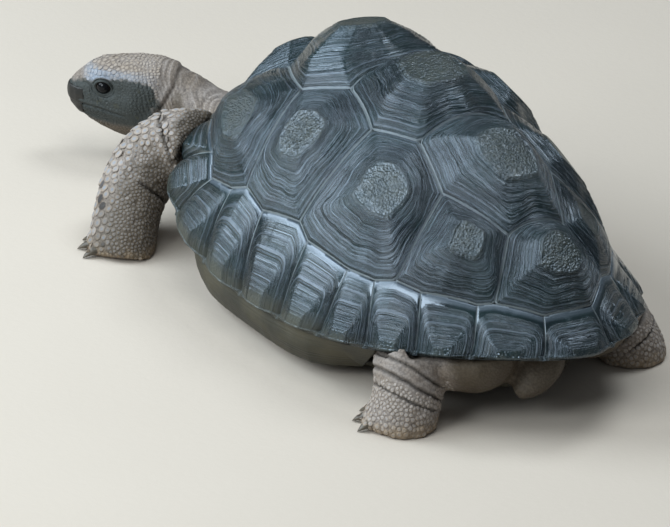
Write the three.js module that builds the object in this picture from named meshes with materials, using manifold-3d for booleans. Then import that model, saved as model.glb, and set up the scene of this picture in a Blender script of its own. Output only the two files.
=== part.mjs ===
// A juvenile Aldabra giant tortoise as a still, life-size model: millimetres, +Z up, facing -Y,
// its left side at +X, standing on the soles of its four feet at z = 0.
import * as THREE from "three";
import { mergeVertices } from "three/addons/utils/BufferGeometryUtils.js";
import Module from "manifold-3d";

const wasm = await Module();
wasm.setup();

// ---------------------------------------------------------------- driving dimensions (mm, degrees)
const gap = 0.32; // clearance between neighbouring pieces
const shell = {
  halfWidth: 75.8, // middle line to the rim at the side
  halfLength: 110.5, // centre of the rim to its front or back
  crown: 98.2, // height of the seams' dome at its apex
  apexY: -11.5,
  taper: 0.08, // the front half is this much wider than the back half
  rimMiddle: 30.7, // mean height of the rim
  rimFlare: 10.2, // how much the rim lifts at front and back and drops at the sides
  rimFront: 3.0,
  square: 2.45, // superellipse power of the rim's outline
  squareFront: 0.7,
  domePower: 1.5, // 1 is an ellipse, more is a drop that starts earlier
  domeFront: -0.17,
  domeEnds: 0.05,
  pitch: 2.06, // the front of the shell is carried this much higher
  // Shells seldom grow quite even: the right rear quarter is narrower, and falls away earlier.
  offSide: 0.12,
  offSideDrop: 0.35,
};
const scute = { thickness: 3.0, sink: 0.5 };
// Heights of the areolae over the seams' dome.
const vertebralRise = [10.5, 12.5, 8.5, 7.5, 6.0];
const costalRise = { left: [5.0, 5.5, 4.5, 5.5], right: [5.0, 4.5, 4.0, 2.4] };
const marginalRise = 2.2;
// Between the legs the plastron's edge turns up steeply to the rim, as the bridge.
const plastron = { bottom: 5.0, thickness: 3.0, wallFrom: 0.935, bridgeRise: 9.5, bridgeFront: -62, bridgeBack: 28, endRise: 3.5 };
// Lobes: centre x, y, z and half sizes across, along and up.
const rump = {
  lobes: [
    [29, 76, 24.5, 19, 18, 15.5],
    [-26, 72, 25, 18, 18, 14.5],
  ],
};
const trunk = { inset: scute.thickness + 1.7, sides: 28, clearance: 1.7 };
// The head is measured along its own axis from the tip of the snout.
const head = {
  snout: [45.9, -196.2, 27.6],
  turn: 44, // degrees to the animal's left
  nod: 4, // degrees down
  eyeBack: 16.2,
  eyeOut: 7.9,
  eyeUp: 5.2,
  eyeRadius: 4.1,
  mouthDrop: 3.4,
};
// Stations: distance behind the snout, half width, height above the axis, depth below it.
const headStations = [
  [0.0, 2.6, 2.6, 3.4],
  [1.4, 4.6, 5.0, 6.2],
  [4.5, 6.8, 8.0, 9.4],
  [9.5, 9.0, 11.6, 13.0],
  [15.0, 10.8, 13.9, 15.2],
  [22.0, 12.3, 15.4, 16.6],
  [30.0, 13.2, 16.2, 17.2],
  [38.0, 12.8, 15.6, 16.8],
  [43.5, 10.8, 13.4, 15.0],
];
// Centre line, half width and half height of the soft parts: [x, y, z, width, height].
const neckStations = [
  [21.5, -171.0, 26.5, 11.0, 14.4],
  [13.5, -161.5, 26.8, 11.8, 15.0],
  [6.0, -148.0, 27.6, 12.6, 14.6],
  [2.0, -130.0, 29.5, 14.0, 13.6],
  [0.0, -108.0, 34.5, 18.0, 15.0],
  [0.0, -88.0, 37.0, 20.0, 16.0],
];
const foreleg = [
  [30.0, -80.0, 40.0, 15.0, 14.0],
  [39.0, -99.0, 38.5, 15.6, 15.2],
  [46.5, -114.5, 34.5, 15.0, 15.0],
  [57.0, -118.5, 25.0, 14.2, 14.4],
  [68.0, -111.5, 13.5, 13.6, 13.4],
  [74.5, -104.0, 3.5, 13.6, 13.4],
  [76.5, -101.5, -3.0, 13.8, 13.4],
];
const hindleg = [
  [28.0, 52.0, 34.0, 17.0, 17.0],
  [40.0, 60.0, 30.0, 16.5, 16.0],
  [50.0, 66.0, 22.5, 14.6, 14.2],
  [54.0, 71.5, 13.0, 13.2, 13.2],
  [58.0, 75.0, 4.0, 13.8, 13.8],
  [60.0, 75.5, -3.0, 14.2, 14.0],
];
const tailStations = [
  [0.0, 70.0, 28.0, 12.0, 10.0],
  [2.0, 82.0, 25.0, 11.0, 9.6],
  [6.0, 90.0, 20.0, 8.6, 8.0],
  [12.0, 92.5, 14.5, 5.8, 5.6],
  [17.5, 90.5, 11.0, 3.2, 3.2],
];
const claw = { length: 8.0, tip: 1.1, root: 3.1, reach: 12.2 };

// ---------------------------------------------------------------- the shell's dome
const radians = THREE.MathUtils.degToRad;

// p runs to the left and q to the back, and hypot(p, q) is 0 at the apex and 1 on the rim.
function domePoint(p, q) {
  const rho = Math.max(Math.hypot(p, q), 1e-6);
  const front = -q / rho;
  const side = rho > 1e-6 ? p / rho : 1;
  const power = shell.square + shell.squareFront * front;
  const reach = (Math.abs(side) ** power + Math.abs(front) ** power) ** (-1 / power);
  const uneven = Math.max(-side, 0) ** 1.5 * THREE.MathUtils.smoothstep(-front, -0.4, 0.5);
  const rimX = shell.halfWidth * side * reach * (1 + shell.taper * front) * (1 - shell.offSide * uneven);
  const rimY = -shell.halfLength * front * reach;
  const rimZ =
    shell.rimMiddle + shell.rimFlare * (2 * front ** 2 - 1) + shell.rimFront * (4 * front ** 3 - 3 * front);
  const even = shell.domePower + shell.domeFront * front + shell.domeEnds * (2 * front ** 2 - 1);
  const drop = even + shell.offSideDrop * uneven;
  const angle = (Math.min(rho, 1) * Math.PI) / 2;
  const out = Math.sin(angle);
  const up = Math.max(Math.cos(angle), 0) ** drop;
  const y = shell.apexY + out * (rimY - shell.apexY);
  const z = rimZ + (shell.crown - rimZ) * up;
  const tilt = radians(shell.pitch);
  return new THREE.Vector3(
    out * rimX,
    y * Math.cos(tilt) + z * Math.sin(tilt),
    z * Math.cos(tilt) - y * Math.sin(tilt),
  );
}

function domeNormal(p, q) {
  const rho = Math.hypot(p, q);
  const shrink = rho > 0.95 ? 0.95 / rho : 1;
  const a = p * shrink;
  const b = q * shrink;
  const step = 0.01;
  const alongP = domePoint(a + step, b).sub(domePoint(a - step, b));
  const alongQ = domePoint(a, b + step).sub(domePoint(a, b - step));
  const normal = alongP.cross(alongQ).normalize();
  return normal.z < 0 ? normal.negate() : normal;
}

const lifted = (p, q, height) => domePoint(p, q).addScaledVector(domeNormal(p, q), height);
const polar = (degrees, rho) => [rho * Math.sin(radians(degrees)), -rho * Math.cos(radians(degrees))];

// ---------------------------------------------------------------- the seams between the scutes
// Where three scutes meet on the left side, as [p, q].
const joints = {
  nuchalV1: [0.1, -0.8],
  v1C1: [0.28, -0.68],
  m1C1: [0.41, -0.56],
  v1v2C1: [0.133, -0.524],
  c1c2V2: [0.257, -0.225],
  v2v3C2: [0.188, -0.107],
  c2c3V3: [0.276, 0.036],
  v3v4C3: [0.204, 0.152],
  c3c4V4: [0.261, 0.3],
  v4v5C4: [0.137, 0.476],
  c4V5: [0.318, 0.628],
  m11V5: [0.152, 0.726],
  c1c2: [0.598, -0.223],
  c2c3: [0.618, 0.015],
  c3c4: [0.554, 0.38],
  m2C1: [0.525, -0.419],
  m3C1: [0.606, -0.379],
  m4C1: [0.616, -0.28],
  m5C2: [0.643, -0.133],
  m6C3: [0.65, 0.073],
  m7C3: [0.634, 0.242],
  m8C3: [0.602, 0.331],
  m9C4: [0.518, 0.462],
  m10C4: [0.379, 0.604],
};
// Where the seams between the marginals reach the rim, in degrees round from the front.
const rimAngles = {
  left: [7, 22, 36, 52, 68, 82, 95, 107, 119, 131, 145, 165.5],
  right: [7, 22, 36, 52, 68, 82, 95, 107, 119, 131, 146, 168.5],
};

// On the right these seams lie this much nearer the middle line.
const offSideJoints = { v4v5C4: 0.92, c3c4V4: 0.94, c4V5: 0.76, m11V5: 0.66, m10C4: 0.88, m9C4: 0.94 };

function joint(name, side) {
  const [p, q] = joints[name];
  return [p * side * (side < 0 ? (offSideJoints[name] ?? 1) : 1), q];
}

// A seam from one point to the next in steps of one common length, so neighbours share its points.
function seam(points) {
  const line = [];
  points.forEach((from, i) => {
    const to = points[(i + 1) % points.length];
    const length = domePoint(...from).distanceTo(domePoint(...to));
    const steps = Math.max(1, Math.ceil(length / 13));
    for (let k = 0; k < steps; k++) {
      line.push([from[0] + ((to[0] - from[0]) * k) / steps, from[1] + ((to[1] - from[1]) * k) / steps]);
    }
  });
  return line;
}

// ---------------------------------------------------------------- solids from rings
// Closes a stack of rings with the same number of points into one solid, ended by two fans.
function ringSolid(rings, first, last) {
  const count = rings[0].length;
  const positions = [];
  const faces = [];
  rings.flat().forEach((point) => positions.push(point.x, point.y, point.z));
  positions.push(first.x, first.y, first.z, last.x, last.y, last.z);
  const firstIndex = rings.length * count;
  for (let k = 0; k < count; k++) {
    const next = (k + 1) % count;
    faces.push(firstIndex, next, k);
    for (let r = 0; r + 1 < rings.length; r++) {
      const a = r * count + k;
      const b = r * count + next;
      faces.push(a, b, b + count, a, b + count, a + count);
    }
    const end = (rings.length - 1) * count;
    faces.push(firstIndex + 1, end + k, end + next);
  }
  const geometry = new THREE.BufferGeometry();
  geometry.setAttribute("position", new THREE.Float32BufferAttribute(positions, 3));
  geometry.setIndex(faces);
  return facingOut(geometry);
}

function signedVolume(geometry) {
  const position = geometry.getAttribute("position");
  const index = geometry.getIndex();
  const [a, b, c] = [new THREE.Vector3(), new THREE.Vector3(), new THREE.Vector3()];
  let sum = 0;
  for (let i = 0; i < index.count; i += 3) {
    a.fromBufferAttribute(position, index.getX(i));
    b.fromBufferAttribute(position, index.getX(i + 1));
    c.fromBufferAttribute(position, index.getX(i + 2));
    sum += a.dot(b.cross(c)) / 6;
  }
  return sum;
}

function facingOut(geometry) {
  if (signedVolume(geometry) > 0) return geometry;
  const index = geometry.getIndex();
  for (let i = 0; i < index.count; i += 3) {
    const b = index.getX(i + 1);
    index.setX(i + 1, index.getX(i + 2));
    index.setX(i + 2, b);
  }
  return geometry;
}

const middle = (ring) => ring.reduce((sum, point) => sum.add(point), new THREE.Vector3()).divideScalar(ring.length);

function solid(geometry) {
  const bare = new THREE.BufferGeometry();
  bare.setAttribute("position", geometry.getAttribute("position").clone());
  if (geometry.getIndex()) bare.setIndex(geometry.getIndex().clone());
  const merged = mergeVertices(bare, 1e-4);
  return new wasm.Manifold(
    new wasm.Mesh({
      numProp: 3,
      vertProperties: Float32Array.from(merged.getAttribute("position").array),
      triVerts: Uint32Array.from(merged.getIndex().array),
    }),
  );
}

function geometryOf(manifold) {
  const mesh = manifold.getMesh();
  const geometry = new THREE.BufferGeometry();
  geometry.setAttribute("position", new THREE.Float32BufferAttribute(mesh.vertProperties, 3));
  geometry.setIndex(Array.from(mesh.triVerts));
  return geometry;
}

// ---------------------------------------------------------------- scutes
// The outline drawn in by half the gap, in the dome's own surface.
function insetRing(outline, height, inset) {
  const count = outline.length;
  const points = outline.map(([p, q]) => lifted(p, q, height));
  return points.map((point, i) => {
    const normal = domeNormal(...outline[i]);
    const before = point.clone().sub(points[(i + count - 1) % count]).normalize();
    const after = points[(i + 1) % count].clone().sub(point).normalize();
    const insideBefore = normal.clone().cross(before);
    const insideAfter = normal.clone().cross(after);
    const bisector = insideBefore.clone().add(insideAfter).normalize();
    const stretch = 1 / Math.max(bisector.dot(insideAfter), 0.5);
    return point.clone().addScaledVector(bisector, inset * stretch);
  });
}

function area(outline) {
  return outline.reduce((sum, [p, q], i) => {
    const [p2, q2] = outline[(i + 1) % outline.length];
    return sum + (p * q2 - p2 * q) / 2;
  }, 0);
}

// A plate with a raised areola: its outline, the areola's centre and how high that stands.
function scuteSolid(outline, centre, rise, share) {
  const loop = area(outline) > 0 ? outline : [...outline].reverse();
  // The areola has rounder corners than the outline.
  const radius = loop.reduce((sum, [p, q]) => sum + Math.hypot(p - centre[0], q - centre[1]), 0) / loop.length;
  const towards = (part) =>
    loop.map(([p, q]) => {
      const reach = Math.hypot(p - centre[0], q - centre[1]);
      const even = THREE.MathUtils.lerp(1, radius / reach, 0.35 * (1 - part));
      return [centre[0] + (p - centre[0]) * part * even, centre[1] + (q - centre[1]) * part * even];
    });
  const raised = (part, height) => towards(part).map(([p, q]) => lifted(p, q, height));
  const rings = [
    insetRing(loop, -scute.thickness, gap / 2),
    insetRing(loop, -scute.sink, gap / 2),
    raised(THREE.MathUtils.lerp(1, share, 0.22), rise * 0.3 - scute.sink * 0.5),
    raised(THREE.MathUtils.lerp(1, share, 0.62), rise * 0.72),
    raised(share, rise),
  ];
  // The inner face is hollowed a little, so its flat facets keep clear of the body.
  const under = raised(0.5, 0.6 - scute.thickness);
  const underMiddle = lifted(...centre, 0.4 - scute.thickness);
  return ringSolid([under, ...rings], underMiddle, middle(rings[rings.length - 1]));
}

// A marginal's plate from its seam with the costals down to the rim and round under it.
function marginalSolid(top, bottomArc, rise) {
  // top and bottom run the same way, with the same number of points.
  const count = top.length;
  const ribs = top.map((from, i) => {
    const to = bottomArc[i];
    const at = (part) => [from[0] + (to[0] - from[0]) * part, from[1] + (to[1] - from[1]) * part];
    const across = i / (count - 1);
    const bulge = rise * Math.sin(Math.PI * across) ** 0.7;
    const outside = [0, 0.45, 0.85].map((part) => {
      const [p, q] = at(part);
      return lifted(p, q, -scute.sink * (part === 0 ? 1 : 0) + bulge * [0.1, 0.7, 1][Math.round(part / 0.42)]);
    });
    const edge = domePoint(...at(1));
    const outward = domeNormal(...at(1)).setZ(0).normalize();
    const lip = edge.clone().addScaledVector(outward, 1.2 + bulge * 0.6);
    const lipUnder = lip.clone().add(new THREE.Vector3(0, 0, -2.2)).addScaledVector(outward, -1.0);
    const innerUnder = lipUnder.clone().addScaledVector(outward, -4.2);
    const inside = [0.8, 0.4, 0].map((part) => {
      const [p, q] = at(part);
      return lifted(p, q, -scute.thickness - 0.9 * part);
    });
    return [...outside, lip, lipUnder, innerUnder, ...inside];
  });
  // Half the gap is taken from each end.
  const shift = (rib, other) => {
    rib.forEach((point, k) => {
      const way = other[k].clone().sub(point).normalize();
      point.addScaledVector(way, gap);
    });
  };
  shift(ribs[0], ribs[1].map((point) => point.clone()));
  shift(ribs[count - 1], ribs[count - 2].map((point) => point.clone()));
  // The upper edge keeps clear of the costals.
  ribs.forEach((rib) => {
    const down = rib[1].clone().sub(rib[0]).normalize();
    rib[0].addScaledVector(down, gap / 2);
    const downInside = rib[rib.length - 2].clone().sub(rib[rib.length - 1]).normalize();
    rib[rib.length - 1].addScaledVector(downInside, gap / 2);
  });
  return ringSolid(ribs, middle(ribs[0]), middle(ribs[count - 1]));
}

// ---------------------------------------------------------------- lofted limbs
// An ellipse in the plane of two directions.
function oval(centre, side, up, width, top, bottom, sides, square = 2) {
  return Array.from({ length: sides }, (_, k) => {
    const angle = (k / sides) * Math.PI * 2;
    const [c, s] = [Math.cos(angle), Math.sin(angle)];
    const reach = (Math.abs(c) ** square + Math.abs(s) ** square) ** (-1 / square);
    return centre
      .clone()
      .addScaledVector(side, c * reach * width)
      .addScaledVector(up, s * reach * (s > 0 ? top : bottom));
  });
}

// A smooth tube through stations of [x, y, z, half width, half height], with level widths.
function loft(stations, { sides = 14, grow = 0, steps = 2 } = {}) {
  const centres = new THREE.CatmullRomCurve3(stations.map(([x, y, z]) => new THREE.Vector3(x, y, z)));
  const sizes = new THREE.CatmullRomCurve3(stations.map((row) => new THREE.Vector3(row[3], row[4], 0)));
  const total = (stations.length - 1) * steps;
  const from = centres.getTangent(0);
  let side = new THREE.Vector3().crossVectors(from, new THREE.Vector3(0, 0, 1)).normalize();
  const rings = [];
  for (let i = 0; i <= total; i++) {
    const t = i / total;
    const tangent = centres.getTangent(t);
    // The side is carried along the curve, so steep parts don't twist.
    side = side.clone().addScaledVector(tangent, -side.dot(tangent)).normalize();
    const up = new THREE.Vector3().crossVectors(side, tangent).normalize();
    const size = sizes.getPoint(t);
    rings.push(oval(centres.getPoint(t), side, up, size.x + grow, size.y + grow, size.y + grow, sides));
  }
  return ringSolid(rings, middle(rings[0]), middle(rings[rings.length - 1]));
}

function boxSolid(x0, x1, y0, y1, z0, z1) {
  const box = new THREE.BoxGeometry(x1 - x0, y1 - y0, z1 - z0);
  box.translate((x0 + x1) / 2, (y0 + y1) / 2, (z0 + z1) / 2);
  return solid(box);
}

// ---------------------------------------------------------------- colours and the group
const colours = {
  shell: new THREE.MeshStandardMaterial({ color: 0x2e3d40, roughness: 0.4, metalness: 0 }),
  plastron: new THREE.MeshStandardMaterial({ color: 0x4a4234, roughness: 0.6, metalness: 0 }),
  skin: new THREE.MeshStandardMaterial({ color: 0x6d675f, roughness: 0.75, metalness: 0 }),
  horn: new THREE.MeshStandardMaterial({ color: 0x25231f, roughness: 0.5, metalness: 0 }),
  eye: new THREE.MeshStandardMaterial({ color: 0x0b0a0a, roughness: 0.1, metalness: 0 }),
};
const tortoise = new THREE.Group();

function add(name, geometry, material) {
  const mesh = new THREE.Mesh(geometry, material);
  mesh.name = name;
  tortoise.add(mesh);
  return mesh;
}

// ---------------------------------------------------------------- carapace
const bothSides = [
  ["left", 1],
  ["right", -1],
];

function mirrored(names, side) {
  return names.map((name) => joint(name, side));
}

// Vertebrals run across the middle line, so their outline is a left half and its mirror image.
const vertebralSeams = [
  ["nuchalV1", "v1C1", "v1v2C1"],
  ["v1v2C1", "c1c2V2", "v2v3C2"],
  ["v2v3C2", "c2c3V3", "v3v4C3"],
  ["v3v4C3", "c3c4V4", "v4v5C4"],
  ["v4v5C4", "c4V5", "m11V5"],
];
const vertebralCentres = [-0.655, -0.29, 0.02, 0.305, 0.565];
const vertebralShares = [0.32, 0.28, 0.38, 0.36, 0.34];
vertebralSeams.forEach((names, i) => {
  const left = mirrored(names, 1);
  const right = mirrored([...names].reverse(), -1);
  const outline = seam([...left, ...right]);
  add(`vertebral_${i + 1}`, scuteSolid(outline, [0, vertebralCentres[i]], vertebralRise[i], vertebralShares[i]), colours.shell);
});

const costalSeams = [
  ["v1C1", "v1v2C1", "c1c2V2", "c1c2", "m4C1", "m3C1", "m2C1", "m1C1"],
  ["c1c2V2", "v2v3C2", "c2c3V3", "c2c3", "m5C2", "c1c2"],
  ["c2c3V3", "v3v4C3", "c3c4V4", "c3c4", "m8C3", "m7C3", "m6C3", "c2c3"],
  ["c3c4V4", "v4v5C4", "c4V5", "m10C4", "m9C4", "c3c4"],
];
const costalCentres = [
  [0.41, -0.33],
  [0.395, -0.105],
  [0.378, 0.2],
  [0.275, 0.445],
];
const costalShares = [0.32, 0.36, 0.34, 0.3];
bothSides.forEach(([word, side]) => {
  costalSeams.forEach((names, i) => {
    const [p, q] = costalCentres[i];
    const outline = seam(mirrored(names, side));
    add(`costal_${word}_${i + 1}`, scuteSolid(outline, [p * side, q], costalRise[word][i], costalShares[i]), colours.shell);
  });
});

// Each marginal's upper edge follows the costals' seam, and its lower edge follows the rim.
const marginalTops = [
  ["nuchalV1", "v1C1", "m1C1"],
  ["m1C1", "m2C1"],
  ["m2C1", "m3C1"],
  ["m3C1", "m4C1"],
  ["m4C1", "c1c2", "m5C2"],
  ["m5C2", "c2c3", "m6C3"],
  ["m6C3", "m7C3"],
  ["m7C3", "m8C3"],
  ["m8C3", "c3c4", "m9C4"],
  ["m9C4", "m10C4"],
  ["m10C4", "c4V5", "m11V5"],
];

const openSeam = (points) => {
  const line = seam(points);
  const last = points[points.length - 1];
  const end = line.findIndex(([p, q]) => p === last[0] && q === last[1]);
  return line.slice(0, end + 1);
};

function arc(fromDegrees, toDegrees, count) {
  return Array.from({ length: count }, (_, k) =>
    polar(THREE.MathUtils.lerp(fromDegrees, toDegrees, k / (count - 1)), 1),
  );
}

bothSides.forEach(([word, side]) => {
  marginalTops.forEach((names, i) => {
    const top = openSeam(mirrored(names, side));
    const bottom = arc(rimAngles[word][i] * side, rimAngles[word][i + 1] * side, top.length);
    add(`marginal_${word}_${i + 1}`, marginalSolid(top, bottom, marginalRise), colours.shell);
  });
});
const nuchalTop = openSeam([joint("nuchalV1", -1), joint("nuchalV1", 1)]);
const nuchalRim = arc(-rimAngles.right[0], rimAngles.left[0], nuchalTop.length);
add("nuchal", marginalSolid(nuchalTop, nuchalRim, marginalRise * 0.5), colours.shell);
const supracaudalTop = openSeam([joint("m11V5", 1), joint("m11V5", -1)]);
const supracaudalRim = arc(rimAngles.left[11], 360 - rimAngles.right[11], supracaudalTop.length);
add("supracaudal", marginalSolid(supracaudalTop, supracaudalRim, marginalRise), colours.shell);

// ---------------------------------------------------------------- trunk
// How far the body's side stands in from the rim: little at the bridge, much over the limbs.
function sideShare(degrees) {
  const front = Math.abs(degrees);
  const bridge = THREE.MathUtils.smoothstep(front, 50, 66) * (1 - THREE.MathUtils.smoothstep(front, 112, 128));
  return bridge;
}

function trunkSolid(grow) {
  const rhos = [0.15, 0.34, 0.52, 0.68, 0.81, 0.92];
  const angles = Array.from({ length: trunk.sides }, (_, k) => (k / trunk.sides) * 360 - 180);
  const depth = (rho) => trunk.inset + 1.2 * THREE.MathUtils.smoothstep(rho, 0.7, 0.96);
  const rings = rhos.map((rho) => angles.map((degrees) => lifted(...polar(degrees, rho), grow - depth(rho))));
  const lower = (shareBridge, shareOpen, height) =>
    angles.map((degrees) => {
      const edge = domePoint(...polar(degrees, 1));
      const share = THREE.MathUtils.lerp(shareOpen, shareBridge, sideShare(degrees));
      const length = Math.hypot(edge.x, edge.y);
      const reach = (length * share + grow) / length;
      const [x, y] = [edge.x * reach, edge.y * reach];
      return new THREE.Vector3(x, y, height(edge, x, y) - 3 * grow);
    });
  const onPlastron = (edge, x, y) => plastronTop(x, y) + trunk.clearance;
  rings.push(lower(0.87, 0.84, (edge, x, y) => Math.max(edge.z - 1.5, onPlastron(edge, x, y))));
  rings.push(lower(0.84, 0.74, (edge, x, y) => Math.max(edge.z - 9, onPlastron(edge, x, y))));
  rings.push(lower(0.72, 0.6, onPlastron));
  rings.push(lower(0.6, 0.48, onPlastron));
  rings.push(lower(0.45, 0.3, onPlastron));
  const top = lifted(0, 0, grow - trunk.inset);
  const bottom = new THREE.Vector3(0, 0, plastronTop(0, 0) + trunk.clearance - 3 * grow);
  return ringSolid(rings, top, bottom);
}

// Everything that a limb may fill: the hollow under the carapace, the room below its rim, and the
// room outside it, with a slot all round where the marginals sit.
function bellSolid() {
  const sides = 32;
  const angles = Array.from({ length: sides }, (_, k) => (k / sides) * 360 - 180);
  const inner = [0.15, 0.4, 0.6, 0.72, 0.82, 0.9].map((rho) =>
    angles.map((degrees) => lifted(...polar(degrees, rho), -scute.thickness - 1.4 - 1.2 * rho)),
  );
  const around = (outward, height) =>
    angles.map((degrees) => {
      const at = polar(degrees, 1);
      const way = domeNormal(...at).setZ(0).normalize();
      const edge = domePoint(...at).addScaledVector(way, outward);
      return edge.setZ(height(edge.z));
    });
  const outer = angles.map((degrees) => lifted(...polar(degrees, 0.9), marginalRise + 1.2));
  const rings = [
    ...inner,
    around(-7.0, (z) => z),
    around(-6.6, (z) => z - 3.8),
    around(4.6, (z) => z - 3.8),
    outer,
    around(80, () => 120),
    around(80, () => -40),
  ];
  return ringSolid(rings, lifted(0, 0, -scute.thickness - 1.2), new THREE.Vector3(0, 0, -40));
}

// ---------------------------------------------------------------- plastron
// Half width of the plastron at distances behind the shell's middle.
const plastronOutline = [
  [-92, 9],
  [-84, 15],
  [-76, 20],
  [-69, 30],
  [-64, 46],
  [-58, 63],
  [-50, 70.4],
  [-42, 72.4],
  [-30, 73.2],
  [-18, 73.3],
  [-6, 73.0],
  [5, 72.4],
  [16, 71.2],
  [25, 68.0],
  [31, 60],
  [37, 48],
  [56, 38],
  [70, 25],
  [80, 13],
];
// The seams between its six pairs of plates, each of whose halves is one with its mirror image.
const plainColumns = [-1, -0.5, 0, 0.5, 1];
const bridgeColumns = [-1, -0.967, -0.935, -0.5, 0.5, 0.935, 0.967, 1];
const plastronSeams = [
  ["gular", -92, -73, 2, plainColumns],
  ["humeral", -73, -50, 3, bridgeColumns],
  ["pectoral", -50, -28, 3, bridgeColumns],
  ["abdominal", -28, 28, 4, bridgeColumns],
  ["femoral", 28, 58, 4, plainColumns],
  ["anal", 58, 80, 2, plainColumns],
];

function plastronHalfWidth(y) {
  const after = plastronOutline.findIndex(([at]) => at >= y);
  if (after <= 0) return after === 0 ? plastronOutline[0][1] : plastronOutline[plastronOutline.length - 1][1];
  const [y0, width0] = plastronOutline[after - 1];
  const [y1, width1] = plastronOutline[after];
  return THREE.MathUtils.lerp(width0, width1, (y - y0) / (y1 - y0));
}

// The plastron follows the uneven rim.
function plastronEdge(y, right) {
  return plastronHalfWidth(y) * (right ? 1 - shell.offSide * THREE.MathUtils.smoothstep(y, -40, 45) : 1);
}

// The edges turn up towards the rim at the bridge, and both ends turn up a little.
function plastronTop(x, y) {
  const { smoothstep } = THREE.MathUtils;
  const wall = smoothstep(Math.abs(x) / plastronEdge(y, x < 0), plastron.wallFrom, 1);
  const middle = smoothstep(y, plastron.bridgeFront, plastron.bridgeFront + 12);
  const bridge = middle * (1 - smoothstep(y, plastron.bridgeBack - 12, plastron.bridgeBack));
  return (
    plastron.bottom + plastron.thickness + plastron.bridgeRise * wall * bridge + plastron.endRise * (Math.abs(y) / 90) ** 4
  );
}

// A bent plate can't be closed by fans, so its faces and all four of its edges are strips.
function plateSolid([, y0, y1, rows, columns], grow) {
  const half = gap / 2 - grow;
  const positions = [];
  columns.forEach((u) => {
    [0, 1].forEach((face) => {
      for (let j = 0; j <= rows; j++) {
        const y = THREE.MathUtils.lerp(y0 + half, y1 - half, j / rows);
        const x = (plastronEdge(y, u < 0) + grow) * u;
        positions.push(x, y, plastronTop(x, y) + (face ? grow : -plastron.thickness - grow));
      }
    });
  });
  const faces = [];
  const at = (i, j, face) => (i * 2 + face) * (rows + 1) + j;
  const quad = (a, b, c, d) => faces.push(a, b, c, a, c, d);
  const last = columns.length - 1;
  for (let i = 0; i < last; i++) {
    for (let j = 0; j < rows; j++) {
      quad(at(i, j, 1), at(i + 1, j, 1), at(i + 1, j + 1, 1), at(i, j + 1, 1));
      quad(at(i, j, 0), at(i, j + 1, 0), at(i + 1, j + 1, 0), at(i + 1, j, 0));
    }
    quad(at(i, 0, 0), at(i + 1, 0, 0), at(i + 1, 0, 1), at(i, 0, 1));
    quad(at(i, rows, 0), at(i, rows, 1), at(i + 1, rows, 1), at(i + 1, rows, 0));
  }
  for (let j = 0; j < rows; j++) {
    quad(at(0, j, 0), at(0, j, 1), at(0, j + 1, 1), at(0, j + 1, 0));
    quad(at(last, j, 0), at(last, j + 1, 0), at(last, j + 1, 1), at(last, j, 1));
  }
  const geometry = new THREE.BufferGeometry();
  geometry.setAttribute("position", new THREE.Float32BufferAttribute(positions, 3));
  geometry.setIndex(faces);
  return facingOut(geometry);
}

// ---------------------------------------------------------------- head
const headFrame = (() => {
  const turn = radians(head.turn);
  const nod = radians(head.nod);
  const forward = new THREE.Vector3(
    Math.sin(turn) * Math.cos(nod),
    -Math.cos(turn) * Math.cos(nod),
    -Math.sin(nod),
  );
  const left = new THREE.Vector3(Math.cos(turn), Math.sin(turn), 0);
  const up = new THREE.Vector3().crossVectors(left, forward).negate().normalize();
  if (up.z < 0) up.negate();
  return { forward, left, up, snout: new THREE.Vector3(...head.snout) };
})();

function headPoint(back, out, up) {
  return headFrame.snout
    .clone()
    .addScaledVector(headFrame.forward, -back)
    .addScaledVector(headFrame.left, out)
    .addScaledVector(headFrame.up, up);
}

function headSolid(grow) {
  const rings = headStations.map(([back, width, top, bottom]) =>
    oval(headPoint(back, 0, 0), headFrame.left, headFrame.up, width + grow, top + grow, bottom + grow, 16, 2.2),
  );
  return ringSolid(rings, headPoint(-0.6 - grow, 0, -0.4), headPoint(45.5 + grow, 0, -0.5));
}

// A slab of the head between two distances behind the snout and two heights.
function headSlab(back0, back1, low, high) {
  const box = new THREE.BoxGeometry(back1 - back0, 60, high - low);
  const basis = new THREE.Matrix4().makeBasis(headFrame.forward, headFrame.left, headFrame.up);
  if (basis.determinant() < 0) basis.makeBasis(headFrame.forward.clone().negate(), headFrame.left, headFrame.up);
  const centre = headPoint((back0 + back1) / 2, 0, (low + high) / 2);
  box.applyMatrix4(basis.setPosition(centre));
  return solid(facingOut(box));
}

// The loose skin of the rump bulges out behind the plastron, one lobe on each side of the tail.
function rumpSolid(grow) {
  return rump.lobes
    .map(([x, y, z, length, width, height]) => {
      const ball = new THREE.SphereGeometry(1, 11, 7);
      ball.scale(length + grow, width + grow, height + grow);
      ball.translate(x, y, z);
      return solid(ball);
    })
    .reduce((sum, lobe) => sum.add(lobe));
}

// ---------------------------------------------------------------- legs with their claws
function clawSolid(root, direction) {
  const cone = new THREE.CylinderGeometry(claw.tip, claw.root, claw.length, 5, 1);
  const turn = new THREE.Quaternion().setFromUnitVectors(new THREE.Vector3(0, 1, 0), direction.clone().normalize());
  cone.applyQuaternion(turn);
  cone.translate(root.x, root.y, root.z);
  return solid(cone);
}

function legSolid(stations, side, foot) {
  const placed = stations.map(([x, y, z, width, height]) => [x * side, y + foot.shift, z, width, height]);
  let leg = solid(loft(placed, { sides: 12 }));
  const last = placed[placed.length - 1];
  const heading = radians(foot.heading) * side;
  foot.fan.forEach((spread) => {
    const angle = heading + radians(spread) * side;
    const way = new THREE.Vector3(Math.sin(angle), -Math.cos(angle), 0);
    const root = new THREE.Vector3(last[0], last[1], claw.root - 0.2).addScaledVector(way, claw.reach);
    leg = leg.add(clawSolid(root, way.setZ(-0.12)));
  });
  return leg.subtract(boxSolid(-200, 200, -300, 300, -40, 0));
}

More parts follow.
